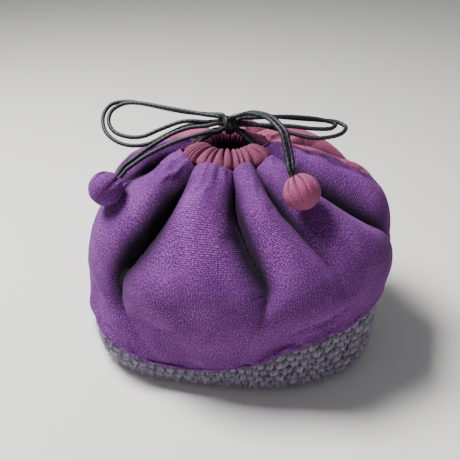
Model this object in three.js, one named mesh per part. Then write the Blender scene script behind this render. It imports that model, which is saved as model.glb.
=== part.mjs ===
// A hand-sewn drawstring pouch for dice, closed and tied in a bow. A knitted oval foot carries a
// linen front panel and a cotton back panel that are gathered into a casing round a small mouth.
// Two cords run through the casing, one from each side. Their ends pass through one bow knot
// and finish in two fabric-covered balls.
//
// Millimetres, +Z up, the front faces -Y. The origin is the middle of the foot, on the table.

import * as THREE from 'three';

// ---------------------------------------------------------------- driving dimensions

// The outer form, from the foot up to the edge of the casing: one oval section for each level.
const FORM_LEVELS = [
  { height: 0, halfWidth: 80, halfDepth: 60, squareness: 2.9, x: 0, y: 0, backLift: 0, skew: 0.45 },
  { height: 12, halfWidth: 85, halfDepth: 66, squareness: 2.8, x: 0, y: 0, backLift: 0, skew: 0.45 },
  { height: 28, halfWidth: 86, halfDepth: 70, squareness: 2.7, x: 0, y: 0, backLift: 0, skew: 0.45 },
  { height: 48, halfWidth: 86.5, halfDepth: 74, squareness: 2.5, x: 1, y: 0, backLift: 0, skew: 0.35 },
  { height: 72, halfWidth: 88, halfDepth: 78, squareness: 2.3, x: 3, y: 0, backLift: 1, skew: 0.25 },
  { height: 96, halfWidth: 80, halfDepth: 72, squareness: 2.15, x: 2, y: 3, backLift: 9, skew: 0.1 },
  { height: 114.5, halfWidth: 53, halfDepth: 50, squareness: 2, x: -3, y: 6, backLift: 6, skew: 0 },
  { height: 120, halfWidth: 27.2, halfDepth: 27.2, squareness: 2, x: -6, y: 7, backLift: 0, skew: 0 },
];

// The gathers: soft petals of cloth between the shoulder and the casing.
const PETAL_COUNT = 9;
const PETAL_VALLEY_ANGLE = THREE.MathUtils.degToRad(-88);
const PETAL_DEPTH = 3.5;
const PETAL_START = 0.6;
const PETAL_FULL = 0.84;
const PETAL_END_DEPTH = 0.35;

// The seam between cloth and knit, every 30 degrees from the right side round by the back. It dips
// low across the front and left, and climbs to both sides.
const SEAM_RISES = [0.44, 0.43, 0.41, 0.39, 0.385, 0.385, 0.385, 0.345, 0.23, 0.24, 0.35, 0.412];
const SEAM_CLEARANCE_RISE = 0.004;

// The side seams between the linen front and the cotton back.
const LEFT_SIDE_SEAM_ANGLE = THREE.MathUtils.degToRad(-192);
const RIGHT_SIDE_SEAM_ANGLE = THREE.MathUtils.degToRad(17);

const GAP = 0.35;
const KNIT_THICKNESS = 5;
const CLOTH_THICKNESS = 1.5;
const LINING_THICKNESS = 1;
const LINING_DEPTH = Math.max(KNIT_THICKNESS, CLOTH_THICKNESS + PETAL_DEPTH) + 2 * GAP;
const SIDE_SEAM_GAP_ANGLE = THREE.MathUtils.degToRad(0.35);

// The lining: where its wall starts and ends on the form, and how much of it is below the neck.
const LINING_LOW_RISE = 0.075;
const LINING_HIGH_RISE = 0.935;
const LINING_BELOW_NECK = 0.84;
const LINING_FLOOR_INSET = 10;

// The casing: a flat gathered tube round the mouth, in two halves.
const MOUTH = new THREE.Vector3(-6, 7, 121.5);
const CASING_RADIUS = 18;
const CASING_HALF_WIDTH = 8.2;
const CASING_HALF_HEIGHT = 4.3;
const CHANNEL_HALF_WIDTH = 6.6;
const CHANNEL_HALF_HEIGHT = 3;
const CASING_END_ANGLE = THREE.MathUtils.degToRad(18);
const CASING_FOLDS = 22;
const CASING_FOLD_SWELL = 0.05;
const MOUTH_LINING_RADIUS = 10.6;
const MOUTH_LINING_HEIGHT = 115.6;

// The cords, the knot that ties them, and the balls on their ends.
const CORD_DIAMETER = 2.5;
const CORD_SIDES = 8;
const OUTER_RUN_RADIUS = 20.2;
const INNER_RUN_RADIUS = 15.8;
const KNOT = new THREE.Vector3(-6.5, 12, 134);
const KNOT_RADIUS = 5.5;
const CORD_START = KNOT_RADIUS + GAP;
const STRAIGHT_START = 1.6;
const BALL_RADIUS = 9.8;
const BALL_COVER_THICKNESS = 1;
const BALL_HOLE_RADIUS = 3.1;
const BALL_STRAND_OFFSET = 1.45;
const BALL_ENTRY_STRAIGHT = 3.2;
const STOP_KNOT_RADIUS = 2.6;

// How finely the round pieces are faceted.
const OVAL_CORNERS = 44;
const LEFT_DRAWCORD_STEPS = 34;
const RIGHT_DRAWCORD_STEPS = 28;
const KNOT_FACETS = [16, 10];
const STOP_KNOT_FACETS = [10, 7];
const BALL_ARC_CORNERS = 8;
const BALL_TURNS = 14;

const LEFT_BALL = {
  centre: new THREE.Vector3(-70.2, -29, 108.2),
  axis: new THREE.Vector3(0.38, 0.88, 0.28).normalize(),
};
const RIGHT_BALL = {
  centre: new THREE.Vector3(38.4, -37.6, 117.6),
  axis: new THREE.Vector3(-0.49, 0.45, 0.75).normalize(),
};

// Where each strand leaves the knot, as a direction from its centre.
const KNOT_EXITS = {
  leftOuterStart: [-3.6, 3.2, 3.4],
  leftOuterEnd: [-4.1, 4.2, 0.1],
  leftInnerStart: [-4.7, 0, 3.6],
  leftInnerEnd: [-5.8, 1, 0.3],
  leftUpperTail: [-5.25, -2.4, 1.2],
  leftLowerTail: [-4.1, -4, -1.5],
  leftFrontLead: [-4.85, -1, -3.2],
  leftBackLead: [-4.4, 2.4, -3.1],
  rightOuterStart: [3.4, 3.4, 3.4],
  rightOuterEnd: [4.2, 4.1, 0.1],
  rightInnerStart: [4.9, 0.6, 3.2],
  rightInnerEnd: [5.8, 1, 0],
  rightOuterTail: [3, -1.6, 4.8],
  rightInnerTail: [0.6, -3.6, 4.6],
  rightFrontLead: [4.85, -1, -3.2],
  rightBackLead: [4.4, 2.4, -3.1],
};

// The short leads between the knot and the ends of the casing.
const LEFT_FRONT_LEAD = [[-15.6, 9.6, 129.6], [-20.6, 7.4, 127.2], [-24.3, 5.4, 124.4], [-25.8, 3.2, 122.3]];
const LEFT_BACK_LEAD = [[-15.6, 13.2, 130.2], [-20.6, 11, 128], [-24.6, 9.2, 124.8], [-25.8, 10.9, 122.3]];
const RIGHT_FRONT_LEAD = [[1.8, 9.2, 129.4], [5, 7.4, 127.2], [8, 5.9, 124.6], [9.6, 4.2, 122.4]];
const RIGHT_BACK_LEAD = [[1.8, 12.9, 130], [5.2, 10.9, 128], [8.4, 9.4, 124.8], [9.7, 9.9, 122.3]];

// Routes of the free cords, between the knot and their far ends.
const LEFT_OUTER_LOOP = [
  [-21, 19.5, 137.3], [-34, 22.5, 136.8], [-48, 26, 137.4], [-61.5, 29, 138.5], [-73, 30, 139.2],
  [-81.6, 27.6, 137.8], [-85, 21.5, 133.4], [-81.6, 11, 127.2], [-73.6, 5, 123.2], [-64.5, 3, 121.6],
  [-54, 4, 122.7], [-43.5, 8.5, 127.2], [-32, 13.5, 131.6], [-20.5, 16.7, 133.4],
];
const LEFT_INNER_LOOP = [
  [-20.5, 13.4, 139], [-34, 16.6, 139.6], [-49, 20.5, 140.2], [-63, 24, 140.6], [-72.8, 24.6, 139.6],
  [-79.4, 21, 136.2], [-80, 14.6, 131.6], [-75.5, 9.4, 127.4], [-67, 7, 125.4], [-57.4, 7.2, 126],
  [-46, 9, 130.8], [-33.5, 11.3, 135], [-21.5, 12.6, 134.9],
];
const RIGHT_OUTER_LOOP = [
  [7, 17.6, 138.2], [20, 19.5, 137.6], [33.2, 22, 136.2], [46.6, 25, 134.8], [55.4, 25.4, 134],
  [60.4, 21.4, 132.6], [58.6, 16, 131], [52.5, 11.8, 129.9], [42, 9.6, 129.4], [30, 11, 131],
  [18, 14.3, 132.6], [7, 16.6, 133.6],
];
const RIGHT_INNER_LOOP = [
  [8.5, 13.4, 138.6], [21, 15.3, 139.2], [34.5, 18.2, 138.4], [46.5, 20.6, 136.6],
  [54.2, 19.8, 134.8], [52.5, 16, 133.6], [43, 13.4, 133.6], [29, 12.6, 134.8], [14, 12.8, 134.6],
];
const LEFT_UPPER_TAIL = [
  [-19.5, 7.4, 134.4], [-29, 7, 133], [-37.8, 5.4, 130], [-45.6, 3, 125.9], [-53.3, 0, 121.3],
  [-60.3, -4.2, 116.6], [-65, -10.4, 113.8],
];
const LEFT_LOWER_TAIL = [
  [-18.6, 4.2, 131.6], [-28, 1.6, 129.4], [-36.4, -0.6, 126.8], [-45, -3.4, 123.2], [-53.6, -6.6, 118.8],
  [-59.2, -10.4, 115.4], [-62.4, -13.4, 113.4],
];
const RIGHT_TAIL = [
  [1.2, 8.4, 141.8], [6, 5, 144.2], [12.8, -0.8, 145.6], [18.4, -7.2, 146.1], [22.7, -12.8, 144.8],
  [26.8, -18.2, 142.2], [29, -23, 136.8], [31, -27.6, 131.4],
];
const RIGHT_TAIL_SPREAD = new THREE.Vector3(1.15, 1.05, 0);

// ---------------------------------------------------------------- finishes

const FINISHES = {
  linen: { color: 0x6f3c8c, roughness: 0.9, metalness: 0 },
  cotton: { color: 0xb0628c, roughness: 0.88, metalness: 0 },
  knit: { color: 0x8f8696, roughness: 1, metalness: 0 },
  lining: { color: 0x4a2560, roughness: 0.9, metalness: 0 },
  waxedCord: { color: 0x26292b, roughness: 0.55, metalness: 0 },
  wadding: { color: 0xe6e2da, roughness: 1, metalness: 0 },
};

// ---------------------------------------------------------------- the outer form

function cubicBlend(before, from, to, after, t) {
  const slope = to - before;
  const curve = 2 * before - 5 * from + 4 * to - after;
  const twist = 3 * from - before - 3 * to + after;
  return from + 0.5 * t * (slope + t * (curve + t * twist));
}

// The oval section at a rise of 0 (foot) to 1 (edge of the casing).
function formLevel(rise) {
  const last = FORM_LEVELS.length - 1;
  const place = THREE.MathUtils.clamp(rise, 0, 1) * last;
  const index = Math.min(Math.floor(place), last - 1);
  const from = FORM_LEVELS[index];
  const to = FORM_LEVELS[index + 1];
  const level = {};
  for (const field of Object.keys(from)) {
    const before = index > 0 ? FORM_LEVELS[index - 1][field] : 2 * from[field] - to[field];
    const after = index + 2 <= last ? FORM_LEVELS[index + 2][field] : 2 * to[field] - from[field];
    level[field] = cubicBlend(before, from[field], to[field], after, place - index);
  }
  return level;
}

// How far the cloth sinks between two petals.
function petalDepth(angle, rise) {
  const growth = THREE.MathUtils.smoothstep(rise, PETAL_START, PETAL_FULL);
  const fade = 1 - (1 - PETAL_END_DEPTH) * THREE.MathUtils.smoothstep(rise, PETAL_FULL, 1);
  const valley = 0.5 + 0.5 * Math.cos(PETAL_COUNT * (angle - PETAL_VALLEY_ANGLE));
  return PETAL_DEPTH * growth * fade * valley;
}

function ovalPoint(angle, level) {
  const squareness = level.squareness + level.skew * Math.sin(2 * angle);
  const across = Math.abs(Math.cos(angle) / level.halfWidth) ** squareness;
  const along = Math.abs(Math.sin(angle) / level.halfDepth) ** squareness;
  const radius = (across + along) ** (-1 / squareness);
  return new THREE.Vector3(
    level.x + radius * Math.cos(angle),
    level.y + radius * Math.sin(angle),
    level.height + level.backLift * Math.sin(angle),
  );
}

function smoothFormPoint(angle, rise) {
  return ovalPoint(angle, formLevel(rise));
}

function formNormal(angle, rise) {
  const step = 0.004;
  const low = Math.max(rise - step, 0);
  const high = Math.min(rise + step, 1);
  const up = smoothFormPoint(angle, high).sub(smoothFormPoint(angle, low));
  const around = smoothFormPoint(angle + step, rise).sub(smoothFormPoint(angle - step, rise));
  return around.cross(up).normalize();
}

// A point a given depth inside the outer form.
function insetPoint(angle, rise, depth) {
  return smoothFormPoint(angle, rise).addScaledVector(formNormal(angle, rise), -depth);
}

// The same, sunk between the petals as the gathered cloth is.
function clothPoint(angle, rise, depth) {
  return insetPoint(angle, rise, depth + petalDepth(angle, rise));
}

function seamRise(angle) {
  const count = SEAM_RISES.length;
  const place = count * THREE.MathUtils.euclideanModulo(angle / (2 * Math.PI), 1);
  const index = Math.floor(place);
  const rises = [-1, 0, 1, 2].map((step) => SEAM_RISES[(index + step + count) % count]);
  return cubicBlend(...rises, place - index);
}

// ---------------------------------------------------------------- geometry helpers

function warp(geometry, place) {
  const positions = geometry.getAttribute('position');
  const point = new THREE.Vector3();
  for (let i = 0; i < positions.count; i += 1) {
    point.fromBufferAttribute(positions, i);
    const placed = place(point);
    positions.setXYZ(i, placed.x, placed.y, placed.z);
  }
  positions.needsUpdate = true;
  geometry.deleteAttribute('normal');
  geometry.deleteAttribute('uv');
  return geometry;
}

// A panel of shell between two angles: a box whose three sides become angle, rise and depth.
function panelGeometry({ fromAngle, toAngle, columns, rows, place }) {
  const box = new THREE.BoxGeometry(1, 1, 1, columns, rows, 1);
  return warp(box, ({ x, y, z }) => {
    const angle = THREE.MathUtils.lerp(fromAngle, toAngle, x + 0.5);
    return place(angle, y + 0.5, 0.5 - z);
  });
}

// A closed ring of shell: a lathed band whose height and wall become rise and depth.
function ringGeometry({ columns, rows, place }) {
  const innerRadius = 1;
  const outerRadius = 2;
  const profile = [];
  for (let row = 0; row <= rows; row += 1) {
    profile.push(new THREE.Vector2(outerRadius, row / rows));
  }
  for (let row = rows; row >= 0; row -= 1) {
    profile.push(new THREE.Vector2(innerRadius, row / rows));
  }
  profile.push(profile[0].clone());
  const band = new THREE.LatheGeometry(profile, columns);
  return warp(band, ({ x, y, z }) => {
    const angle = Math.atan2(-z, x);
    const wall = outerRadius - Math.hypot(x, z);
    return place(angle, y, THREE.MathUtils.clamp(wall, 0, 1));
  });
}

function vectors(points) {
  return points.map(([x, y, z]) => new THREE.Vector3(x, y, z));
}

function roundSection(radius, sides) {
  const shape = new THREE.Shape();
  for (let side = 0; side < sides; side += 1) {
    const angle = (2 * Math.PI * side) / sides;
    const corner = new THREE.Vector2(radius * Math.cos(angle), radius * Math.sin(angle));
    if (side === 0) shape.moveTo(corner.x, corner.y);
    else shape.lineTo(corner.x, corner.y);
  }
  shape.closePath();
  return shape;
}

function cordGeometry(points, steps) {
  const path = new THREE.CatmullRomCurve3(points, false, 'centripetal');
  const section = roundSection(CORD_DIAMETER / 2, CORD_SIDES);
  return new THREE.ExtrudeGeometry(section, { steps, extrudePath: path });
}

// The first two points of a strand, which leaves the knot straight out from its centre.
function knotExit(name) {
  const direction = new THREE.Vector3(...KNOT_EXITS[name]).normalize();
  const reaches = [CORD_START, CORD_START + STRAIGHT_START];
  return reaches.map((reach) => KNOT.clone().addScaledVector(direction, reach));
}

function knotReturn(name) {
  return knotExit(name).reverse();
}

// The stretch of a strand that goes into a ball, side by side with its twin.
function ballEntry(ball, side) {
  const across = new THREE.Vector3().crossVectors(ball.axis, new THREE.Vector3(0, 0, 1)).normalize();
  const stopFace = 2 * STOP_KNOT_RADIUS + 2 * GAP;
  const reaches = [BALL_RADIUS + BALL_ENTRY_STRAIGHT, BALL_RADIUS, stopFace];
  return reaches.map((reach) => ball.centre.clone()
    .addScaledVector(ball.axis, reach)
    .addScaledVector(across, side * BALL_STRAND_OFFSET));
}

// ---------------------------------------------------------------- the pieces

const parts = new THREE.Group();

function addPiece(name, geometry, finish) {
  const mesh = new THREE.Mesh(geometry, new THREE.MeshStandardMaterial(FINISHES[finish]));
  mesh.name = name;
  parts.add(mesh);
  return mesh;
}

function ovalSlab(level, inset, thickness) {
  const shrunk = {
    ...level,
    halfWidth: level.halfWidth - inset,
    halfDepth: level.halfDepth - inset,
  };
  const outline = new THREE.Shape();
  for (let corner = 0; corner < OVAL_CORNERS; corner += 1) {
    const point = ovalPoint((2 * Math.PI * corner) / OVAL_CORNERS, shrunk);
    if (corner === 0) outline.moveTo(point.x, point.y);
    else outline.lineTo(point.x, point.y);
  }
  outline.closePath();
  return new THREE.ExtrudeGeometry(outline, { depth: thickness, bevelEnabled: false });
}

function addKnitFoot() {
  const foot = FORM_LEVELS[0];
  addPiece('knit_base', ovalSlab(foot, KNIT_THICKNESS + 2 * GAP, KNIT_THICKNESS), 'knit');
  const band = ringGeometry({
    columns: OVAL_CORNERS,
    rows: 4,
    place: (angle, height, wall) => {
      const rise = height * (seamRise(angle) - SEAM_CLEARANCE_RISE);
      return insetPoint(angle, rise, wall * KNIT_THICKNESS);
    },
  });
  addPiece('knit_band', band, 'knit');
}

function clothPanel(fromAngle, toAngle) {
  return panelGeometry({
    fromAngle: fromAngle + SIDE_SEAM_GAP_ANGLE,
    toAngle: toAngle - SIDE_SEAM_GAP_ANGLE,
    columns: 27,
    rows: 11,
    place: (angle, height, wall) => {
      const rise = THREE.MathUtils.lerp(seamRise(angle) + SEAM_CLEARANCE_RISE, 1, height);
      return clothPoint(angle, rise, wall * CLOTH_THICKNESS);
    },
  });
}

function addClothPanels() {
  const fullTurn = 2 * Math.PI;
  addPiece('front_panel', clothPanel(LEFT_SIDE_SEAM_ANGLE, RIGHT_SIDE_SEAM_ANGLE), 'linen');
  addPiece('back_panel', clothPanel(RIGHT_SIDE_SEAM_ANGLE, LEFT_SIDE_SEAM_ANGLE + fullTurn), 'cotton');
}

function mouthPoint(angle, radius, height) {
  return new THREE.Vector3(MOUTH.x + radius * Math.cos(angle), MOUTH.y + radius * Math.sin(angle), height);
}

// The lining hangs from the inner edge of the casing and follows the outer walls down.
function addLining() {
  const lining = ringGeometry({
    columns: 40,
    rows: 11,
    place: (angle, height, wall) => {
      const along = Math.min(height / LINING_BELOW_NECK, 1);
      const rise = THREE.MathUtils.lerp(LINING_LOW_RISE, LINING_HIGH_RISE, along);
      const point = insetPoint(angle, rise, LINING_DEPTH + wall * LINING_THICKNESS);
      if (height <= LINING_BELOW_NECK) return point;
      const neck = mouthPoint(angle, MOUTH_LINING_RADIUS, MOUTH_LINING_HEIGHT - wall * LINING_THICKNESS);
      return point.lerp(neck, (height - LINING_BELOW_NECK) / (1 - LINING_BELOW_NECK));
    },
  });
  addPiece('lining_wall', lining, 'lining');
  const floor = ovalSlab(FORM_LEVELS[0], LINING_FLOOR_INSET, LINING_THICKNESS);
  addPiece('lining_floor', floor, 'lining').position.z = KNIT_THICKNESS + GAP;
}

function casingHalf(fromAngle, toAngle) {
  const section = new THREE.Shape();
  section.absellipse(0, 0, CASING_HALF_HEIGHT, CASING_HALF_WIDTH, 0, 2 * Math.PI, false, 0);
  const channel = new THREE.Path();
  channel.absellipse(0, 0, CHANNEL_HALF_HEIGHT, CHANNEL_HALF_WIDTH, 0, 2 * Math.PI, true, 0);
  section.holes.push(channel);
  const arc = new THREE.CatmullRomCurve3();
  const knots = 13;
  for (let knot = 0; knot < knots; knot += 1) {
    const angle = THREE.MathUtils.lerp(fromAngle, toAngle, knot / (knots - 1));
    arc.points.push(mouthPoint(angle, CASING_RADIUS, MOUTH.z));
  }
  const tube = new THREE.ExtrudeGeometry(section, { steps: 22, curveSegments: 5, extrudePath: arc });
  return warp(tube, (point) => {
    const angle = Math.atan2(point.y - MOUTH.y, point.x - MOUTH.x);
    const middle = mouthPoint(angle, CASING_RADIUS, MOUTH.z);
    const swell = 1 + CASING_FOLD_SWELL * Math.cos(CASING_FOLDS * angle);
    return point.clone().sub(middle).multiplyScalar(swell).add(middle);
  });
}

function addCasings() {
  addPiece('front_casing', casingHalf(-Math.PI + CASING_END_ANGLE, -CASING_END_ANGLE), 'cotton');
  addPiece('back_casing', casingHalf(CASING_END_ANGLE, Math.PI - CASING_END_ANGLE), 'cotton');
}

// A drawcord: from the knot into one end of the casing, once round the mouth and back out.
function drawcordPoints({ radius, startAngle, firstLead, lastLead }) {
  const knots = 21;
  const gap = CASING_END_ANGLE;
  const points = vectors(firstLead);
  for (let knot = 0; knot < knots; knot += 1) {
    const turn = THREE.MathUtils.lerp(gap, 2 * Math.PI - gap, knot / (knots - 1));
    points.push(mouthPoint(startAngle + turn, radius, MOUTH.z));
  }
  points.push(...vectors(lastLead).reverse());
  return points;
}

function addDrawcords() {
  const left = drawcordPoints({
    radius: OUTER_RUN_RADIUS,
    startAngle: Math.PI,
    firstLead: LEFT_FRONT_LEAD,
    lastLead: LEFT_BACK_LEAD,
  });
  const right = drawcordPoints({
    radius: INNER_RUN_RADIUS,
    startAngle: 0,
    firstLead: RIGHT_BACK_LEAD,
    lastLead: RIGHT_FRONT_LEAD,
  });
  left.unshift(...knotExit('leftFrontLead'));
  left.push(...knotReturn('leftBackLead'));
  right.unshift(...knotExit('rightBackLead'));
  right.push(...knotReturn('rightFrontLead'));
  addPiece('left_drawcord', cordGeometry(left, LEFT_DRAWCORD_STEPS), 'waxedCord');
  addPiece('right_drawcord', cordGeometry(right, RIGHT_DRAWCORD_STEPS), 'waxedCord');
}

function addBow() {
  const wraps = new THREE.SphereGeometry(KNOT_RADIUS, ...KNOT_FACETS);
  addPiece('bow_knot', wraps, 'waxedCord').position.copy(KNOT);
  const loops = [
    ['left_loop_outer', 'leftOuter', LEFT_OUTER_LOOP, 17],
    ['left_loop_inner', 'leftInner', LEFT_INNER_LOOP, 16],
    ['right_loop_outer', 'rightOuter', RIGHT_OUTER_LOOP, 14],
    ['right_loop_inner', 'rightInner', RIGHT_INNER_LOOP, 12],
  ];
  for (const [name, exit, route, steps] of loops) {
    const points = [...knotExit(`${exit}Start`), ...vectors(route), ...knotReturn(`${exit}End`)];
    addPiece(name, cordGeometry(points, steps), 'waxedCord');
  }
}

function shifted(route, spread) {
  return vectors(route).map((point) => point.add(spread));
}

function addTails() {
  const tails = [
    ['left_tail_upper', 'leftUpperTail', vectors(LEFT_UPPER_TAIL), LEFT_BALL, -1, 11],
    ['left_tail_lower', 'leftLowerTail', vectors(LEFT_LOWER_TAIL), LEFT_BALL, 1, 11],
    ['right_tail_outer', 'rightOuterTail', shifted(RIGHT_TAIL, RIGHT_TAIL_SPREAD), RIGHT_BALL, 1, 11],
    ['right_tail_inner', 'rightInnerTail', shifted(RIGHT_TAIL, RIGHT_TAIL_SPREAD.clone().negate()),
      RIGHT_BALL, -1, 11],
  ];
  for (const [name, exit, route, ball, side, steps] of tails) {
    const points = [...knotExit(exit), ...route, ...ballEntry(ball, side)];
    addPiece(name, cordGeometry(points, steps), 'waxedCord');
  }
}

// A round profile from the bottom pole up to the rim of the hole in the top.
function ballArc(radius) {
  const rimAngle = Math.asin(BALL_HOLE_RADIUS / radius);
  const arc = [];
  for (let corner = 0; corner <= BALL_ARC_CORNERS; corner += 1) {
    const angle = THREE.MathUtils.lerp(Math.PI, rimAngle, corner / BALL_ARC_CORNERS);
    const across = corner === 0 ? 0 : radius * Math.sin(angle);
    arc.push(new THREE.Vector2(across, radius * Math.cos(angle)));
  }
  return arc;
}

function addBall(side, ball, finish) {
  const innerRadius = BALL_RADIUS - BALL_COVER_THICKNESS;
  const cover = [...ballArc(BALL_RADIUS), ...ballArc(innerRadius).reverse()];
  const filling = ballArc(innerRadius - GAP);
  filling.push(new THREE.Vector2(BALL_HOLE_RADIUS, 0), new THREE.Vector2(0, 0));
  const group = new THREE.Group();
  group.position.copy(ball.centre);
  group.quaternion.setFromUnitVectors(new THREE.Vector3(0, 1, 0), ball.axis);
  parts.add(group);
  group.add(addPiece(`${side}_ball_cover`, new THREE.LatheGeometry(cover, BALL_TURNS), finish));
  group.add(addPiece(`${side}_ball_wadding`, new THREE.LatheGeometry(filling, BALL_TURNS), 'wadding'));
  const knot = new THREE.SphereGeometry(STOP_KNOT_RADIUS, ...STOP_KNOT_FACETS);
  const stop = addPiece(`${side}_ball_stop_knot`, knot, 'waxedCord');
  stop.position.y = STOP_KNOT_RADIUS + GAP;
  group.add(stop);
}

addKnitFoot();
addClothPanels();
addLining();
addCasings();
addDrawcords();
addBow();
addTails();
addBall('left', LEFT_BALL, 'linen');
addBall('right', RIGHT_BALL, 'cotton');

export default parts;
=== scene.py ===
"""The looks of a hand-sewn drawstring pouch for dice, closed and tied in a bow.

A knitted oval foot carries a linen front and a cotton back. Both are gathered into a ruffled casing
round a small mouth. Two waxed cords run through the casing, meet in one bow knot and end in two
balls covered with cloth. Everything is in metres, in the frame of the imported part.
"""

import json
import logging
import math
from dataclasses import dataclass, field
from enum import Enum
from typing import Callable

import bmesh
import bpy
import numpy as np
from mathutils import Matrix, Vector


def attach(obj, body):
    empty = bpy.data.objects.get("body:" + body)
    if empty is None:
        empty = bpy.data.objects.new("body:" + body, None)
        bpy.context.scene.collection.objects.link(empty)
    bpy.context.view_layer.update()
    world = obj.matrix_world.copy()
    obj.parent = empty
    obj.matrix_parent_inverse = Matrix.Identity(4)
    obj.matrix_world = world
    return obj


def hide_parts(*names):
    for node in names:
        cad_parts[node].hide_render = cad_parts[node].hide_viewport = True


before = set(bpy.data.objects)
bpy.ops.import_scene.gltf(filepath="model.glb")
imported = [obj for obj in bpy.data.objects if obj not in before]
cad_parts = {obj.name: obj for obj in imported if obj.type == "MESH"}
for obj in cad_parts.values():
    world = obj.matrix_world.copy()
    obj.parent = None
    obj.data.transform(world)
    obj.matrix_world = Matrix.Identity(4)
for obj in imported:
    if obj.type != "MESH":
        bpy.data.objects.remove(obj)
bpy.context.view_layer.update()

LOG = logging.getLogger("dice_pouch")
MM = 0.001
TAU = 2 * math.pi
# The middle of the mouth, in millimetres.
MOUTH = (-6.0, 7.0, 121.5)
# How far knit and cloth each run past their seam, as a rise.
SEAM_LAP = 0.004

Place = Callable[[np.ndarray, np.ndarray], np.ndarray]
Relief = Callable[[np.ndarray, np.ndarray], np.ndarray]


class Body(Enum):
    """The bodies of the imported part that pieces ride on."""

    POUCH = "pouch"
    LEFT_LOOP = "left_loop"
    RIGHT_LOOP = "right_loop"
    LEFT_TAIL = "left_tail"
    RIGHT_TAIL = "right_tail"


class Slot(Enum):
    """The material slots of the record."""

    LINEN = "linen"
    COTTON = "cotton"
    KNIT = "knit"
    LINING = "lining"
    CORD = "waxed_cord"
    WADDING = "wadding"


# ---------------------------------------------------------------- small helpers


def smoothstep(value: np.ndarray, low: float, high: float) -> np.ndarray:
    """Rise smoothly from 0 at low to 1 at high.

    Args:
        value: Where to look.
        low: The value at which the rise starts.
        high: The value at which it is whole.

    Returns:
        The share risen, from 0 to 1.
    """
    t = np.clip((value - low) / (high - low), 0, 1)
    return t * t * (3 - 2 * t)


def swell(value: np.ndarray, width: float) -> np.ndarray:
    """Return 1 where the value is 0, falling off smoothly over a width on either side."""
    return np.exp(-((value / width) ** 2))


def cubic(before: np.ndarray, start: np.ndarray, end: np.ndarray, after: np.ndarray,
          t: np.ndarray) -> np.ndarray:
    """Run a smooth curve from start to end, in line with the values on either side.

    Args:
        before: The value before start.
        start: The value at t of 0.
        end: The value at t of 1.
        after: The value after end.
        t: How far along.

    Returns:
        The curve's value.
    """
    slope = end - before
    curve = 2 * before - 5 * start + 4 * end - after
    twist = 3 * start - before - 3 * end + after
    return start + 0.5 * t * (slope + t * (curve + t * twist))


def eased(value: np.ndarray, places: np.ndarray, heights: np.ndarray) -> np.ndarray:
    """Return a line through some points at each value, with its corners rounded off."""
    steps = (-0.045, -0.03, -0.015, 0.0, 0.015, 0.03, 0.045)
    return sum(np.interp(value + step, places, heights) for step in steps) / len(steps)


def unit(vectors: np.ndarray) -> np.ndarray:
    """Return the vectors, each made one long."""
    return vectors / np.maximum(np.linalg.norm(vectors, axis=-1, keepdims=True), 1e-12)


def ripple(across: np.ndarray, along: np.ndarray, seed: int, low: int, high: int) -> np.ndarray:
    """Sum a few waves of unlike pitch, as uneven cloth has, so that no two places look the same.

    Args:
        across: Angle round the piece, in radians, over which the waves close on themselves.
        along: Place up the piece, from 0 to 1.
        seed: Which set of waves.
        low: The fewest waves round the piece.
        high: The most waves round the piece.

    Returns:
        The height of the waves, about -1 to 1.
    """
    draw = np.random.default_rng(seed)
    waves = 9
    total = np.zeros_like(across)
    for _ in range(waves):
        turns = int(draw.integers(low, high + 1))
        climb = draw.uniform(-1.6, 1.6)
        total += np.sin(turns * across + TAU * climb * along + draw.uniform(0, TAU))
    return total / math.sqrt(waves)


def round_mouth(reach: np.ndarray, angle: np.ndarray, height: np.ndarray) -> np.ndarray:
    """Return points round the middle of the mouth, all in millimetres."""
    return np.stack([MOUTH[0] + reach * np.cos(angle), MOUTH[1] + reach * np.sin(angle), height], axis=1)


# ---------------------------------------------------------------- materials


def linear(colour: int) -> tuple[float, float, float, float]:
    """Turn an sRGB hex colour into the linear one that a shader takes.

    Args:
        colour: The colour, as 0xRRGGBB.

    Returns:
        Red, green, blue and an alpha of 1.
    """
    shares = [((colour >> shift) & 255) / 255 for shift in (16, 8, 0)]
    lit = [c / 12.92 if c <= 0.04045 else ((c + 0.055) / 1.055) ** 2.4 for c in shares]
    return (*lit, 1.0)


def add_node(tree: bpy.types.NodeTree, kind: str, settings: dict | None = None,
             inputs: dict | None = None) -> bpy.types.Node:
    """Add a node with its settings and what its sockets hold or are linked to.

    Args:
        tree: The material's node tree.
        kind: The node's type name.
        settings: Properties to set on the node.
        inputs: Socket name or index to a value, or to another node's output.

    Returns:
        The new node.
    """
    made = tree.nodes.new(kind)
    for name, value in (settings or {}).items():
        setattr(made, name, value)
    for name, value in (inputs or {}).items():
        if isinstance(value, bpy.types.NodeSocket):
            tree.links.new(value, made.inputs[name])
        else:
            made.inputs[name].default_value = value
    return made


def new_material(name: str) -> tuple[bpy.types.Material, bpy.types.NodeTree]:
    """Make an empty material with its node tree.

    Args:
        name: The material's name.

    Returns:
        The material and its node tree.
    """
    material = bpy.data.materials.new(name)
    material.use_nodes = True
    material.node_tree.nodes.clear()
    return material, material.node_tree


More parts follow.
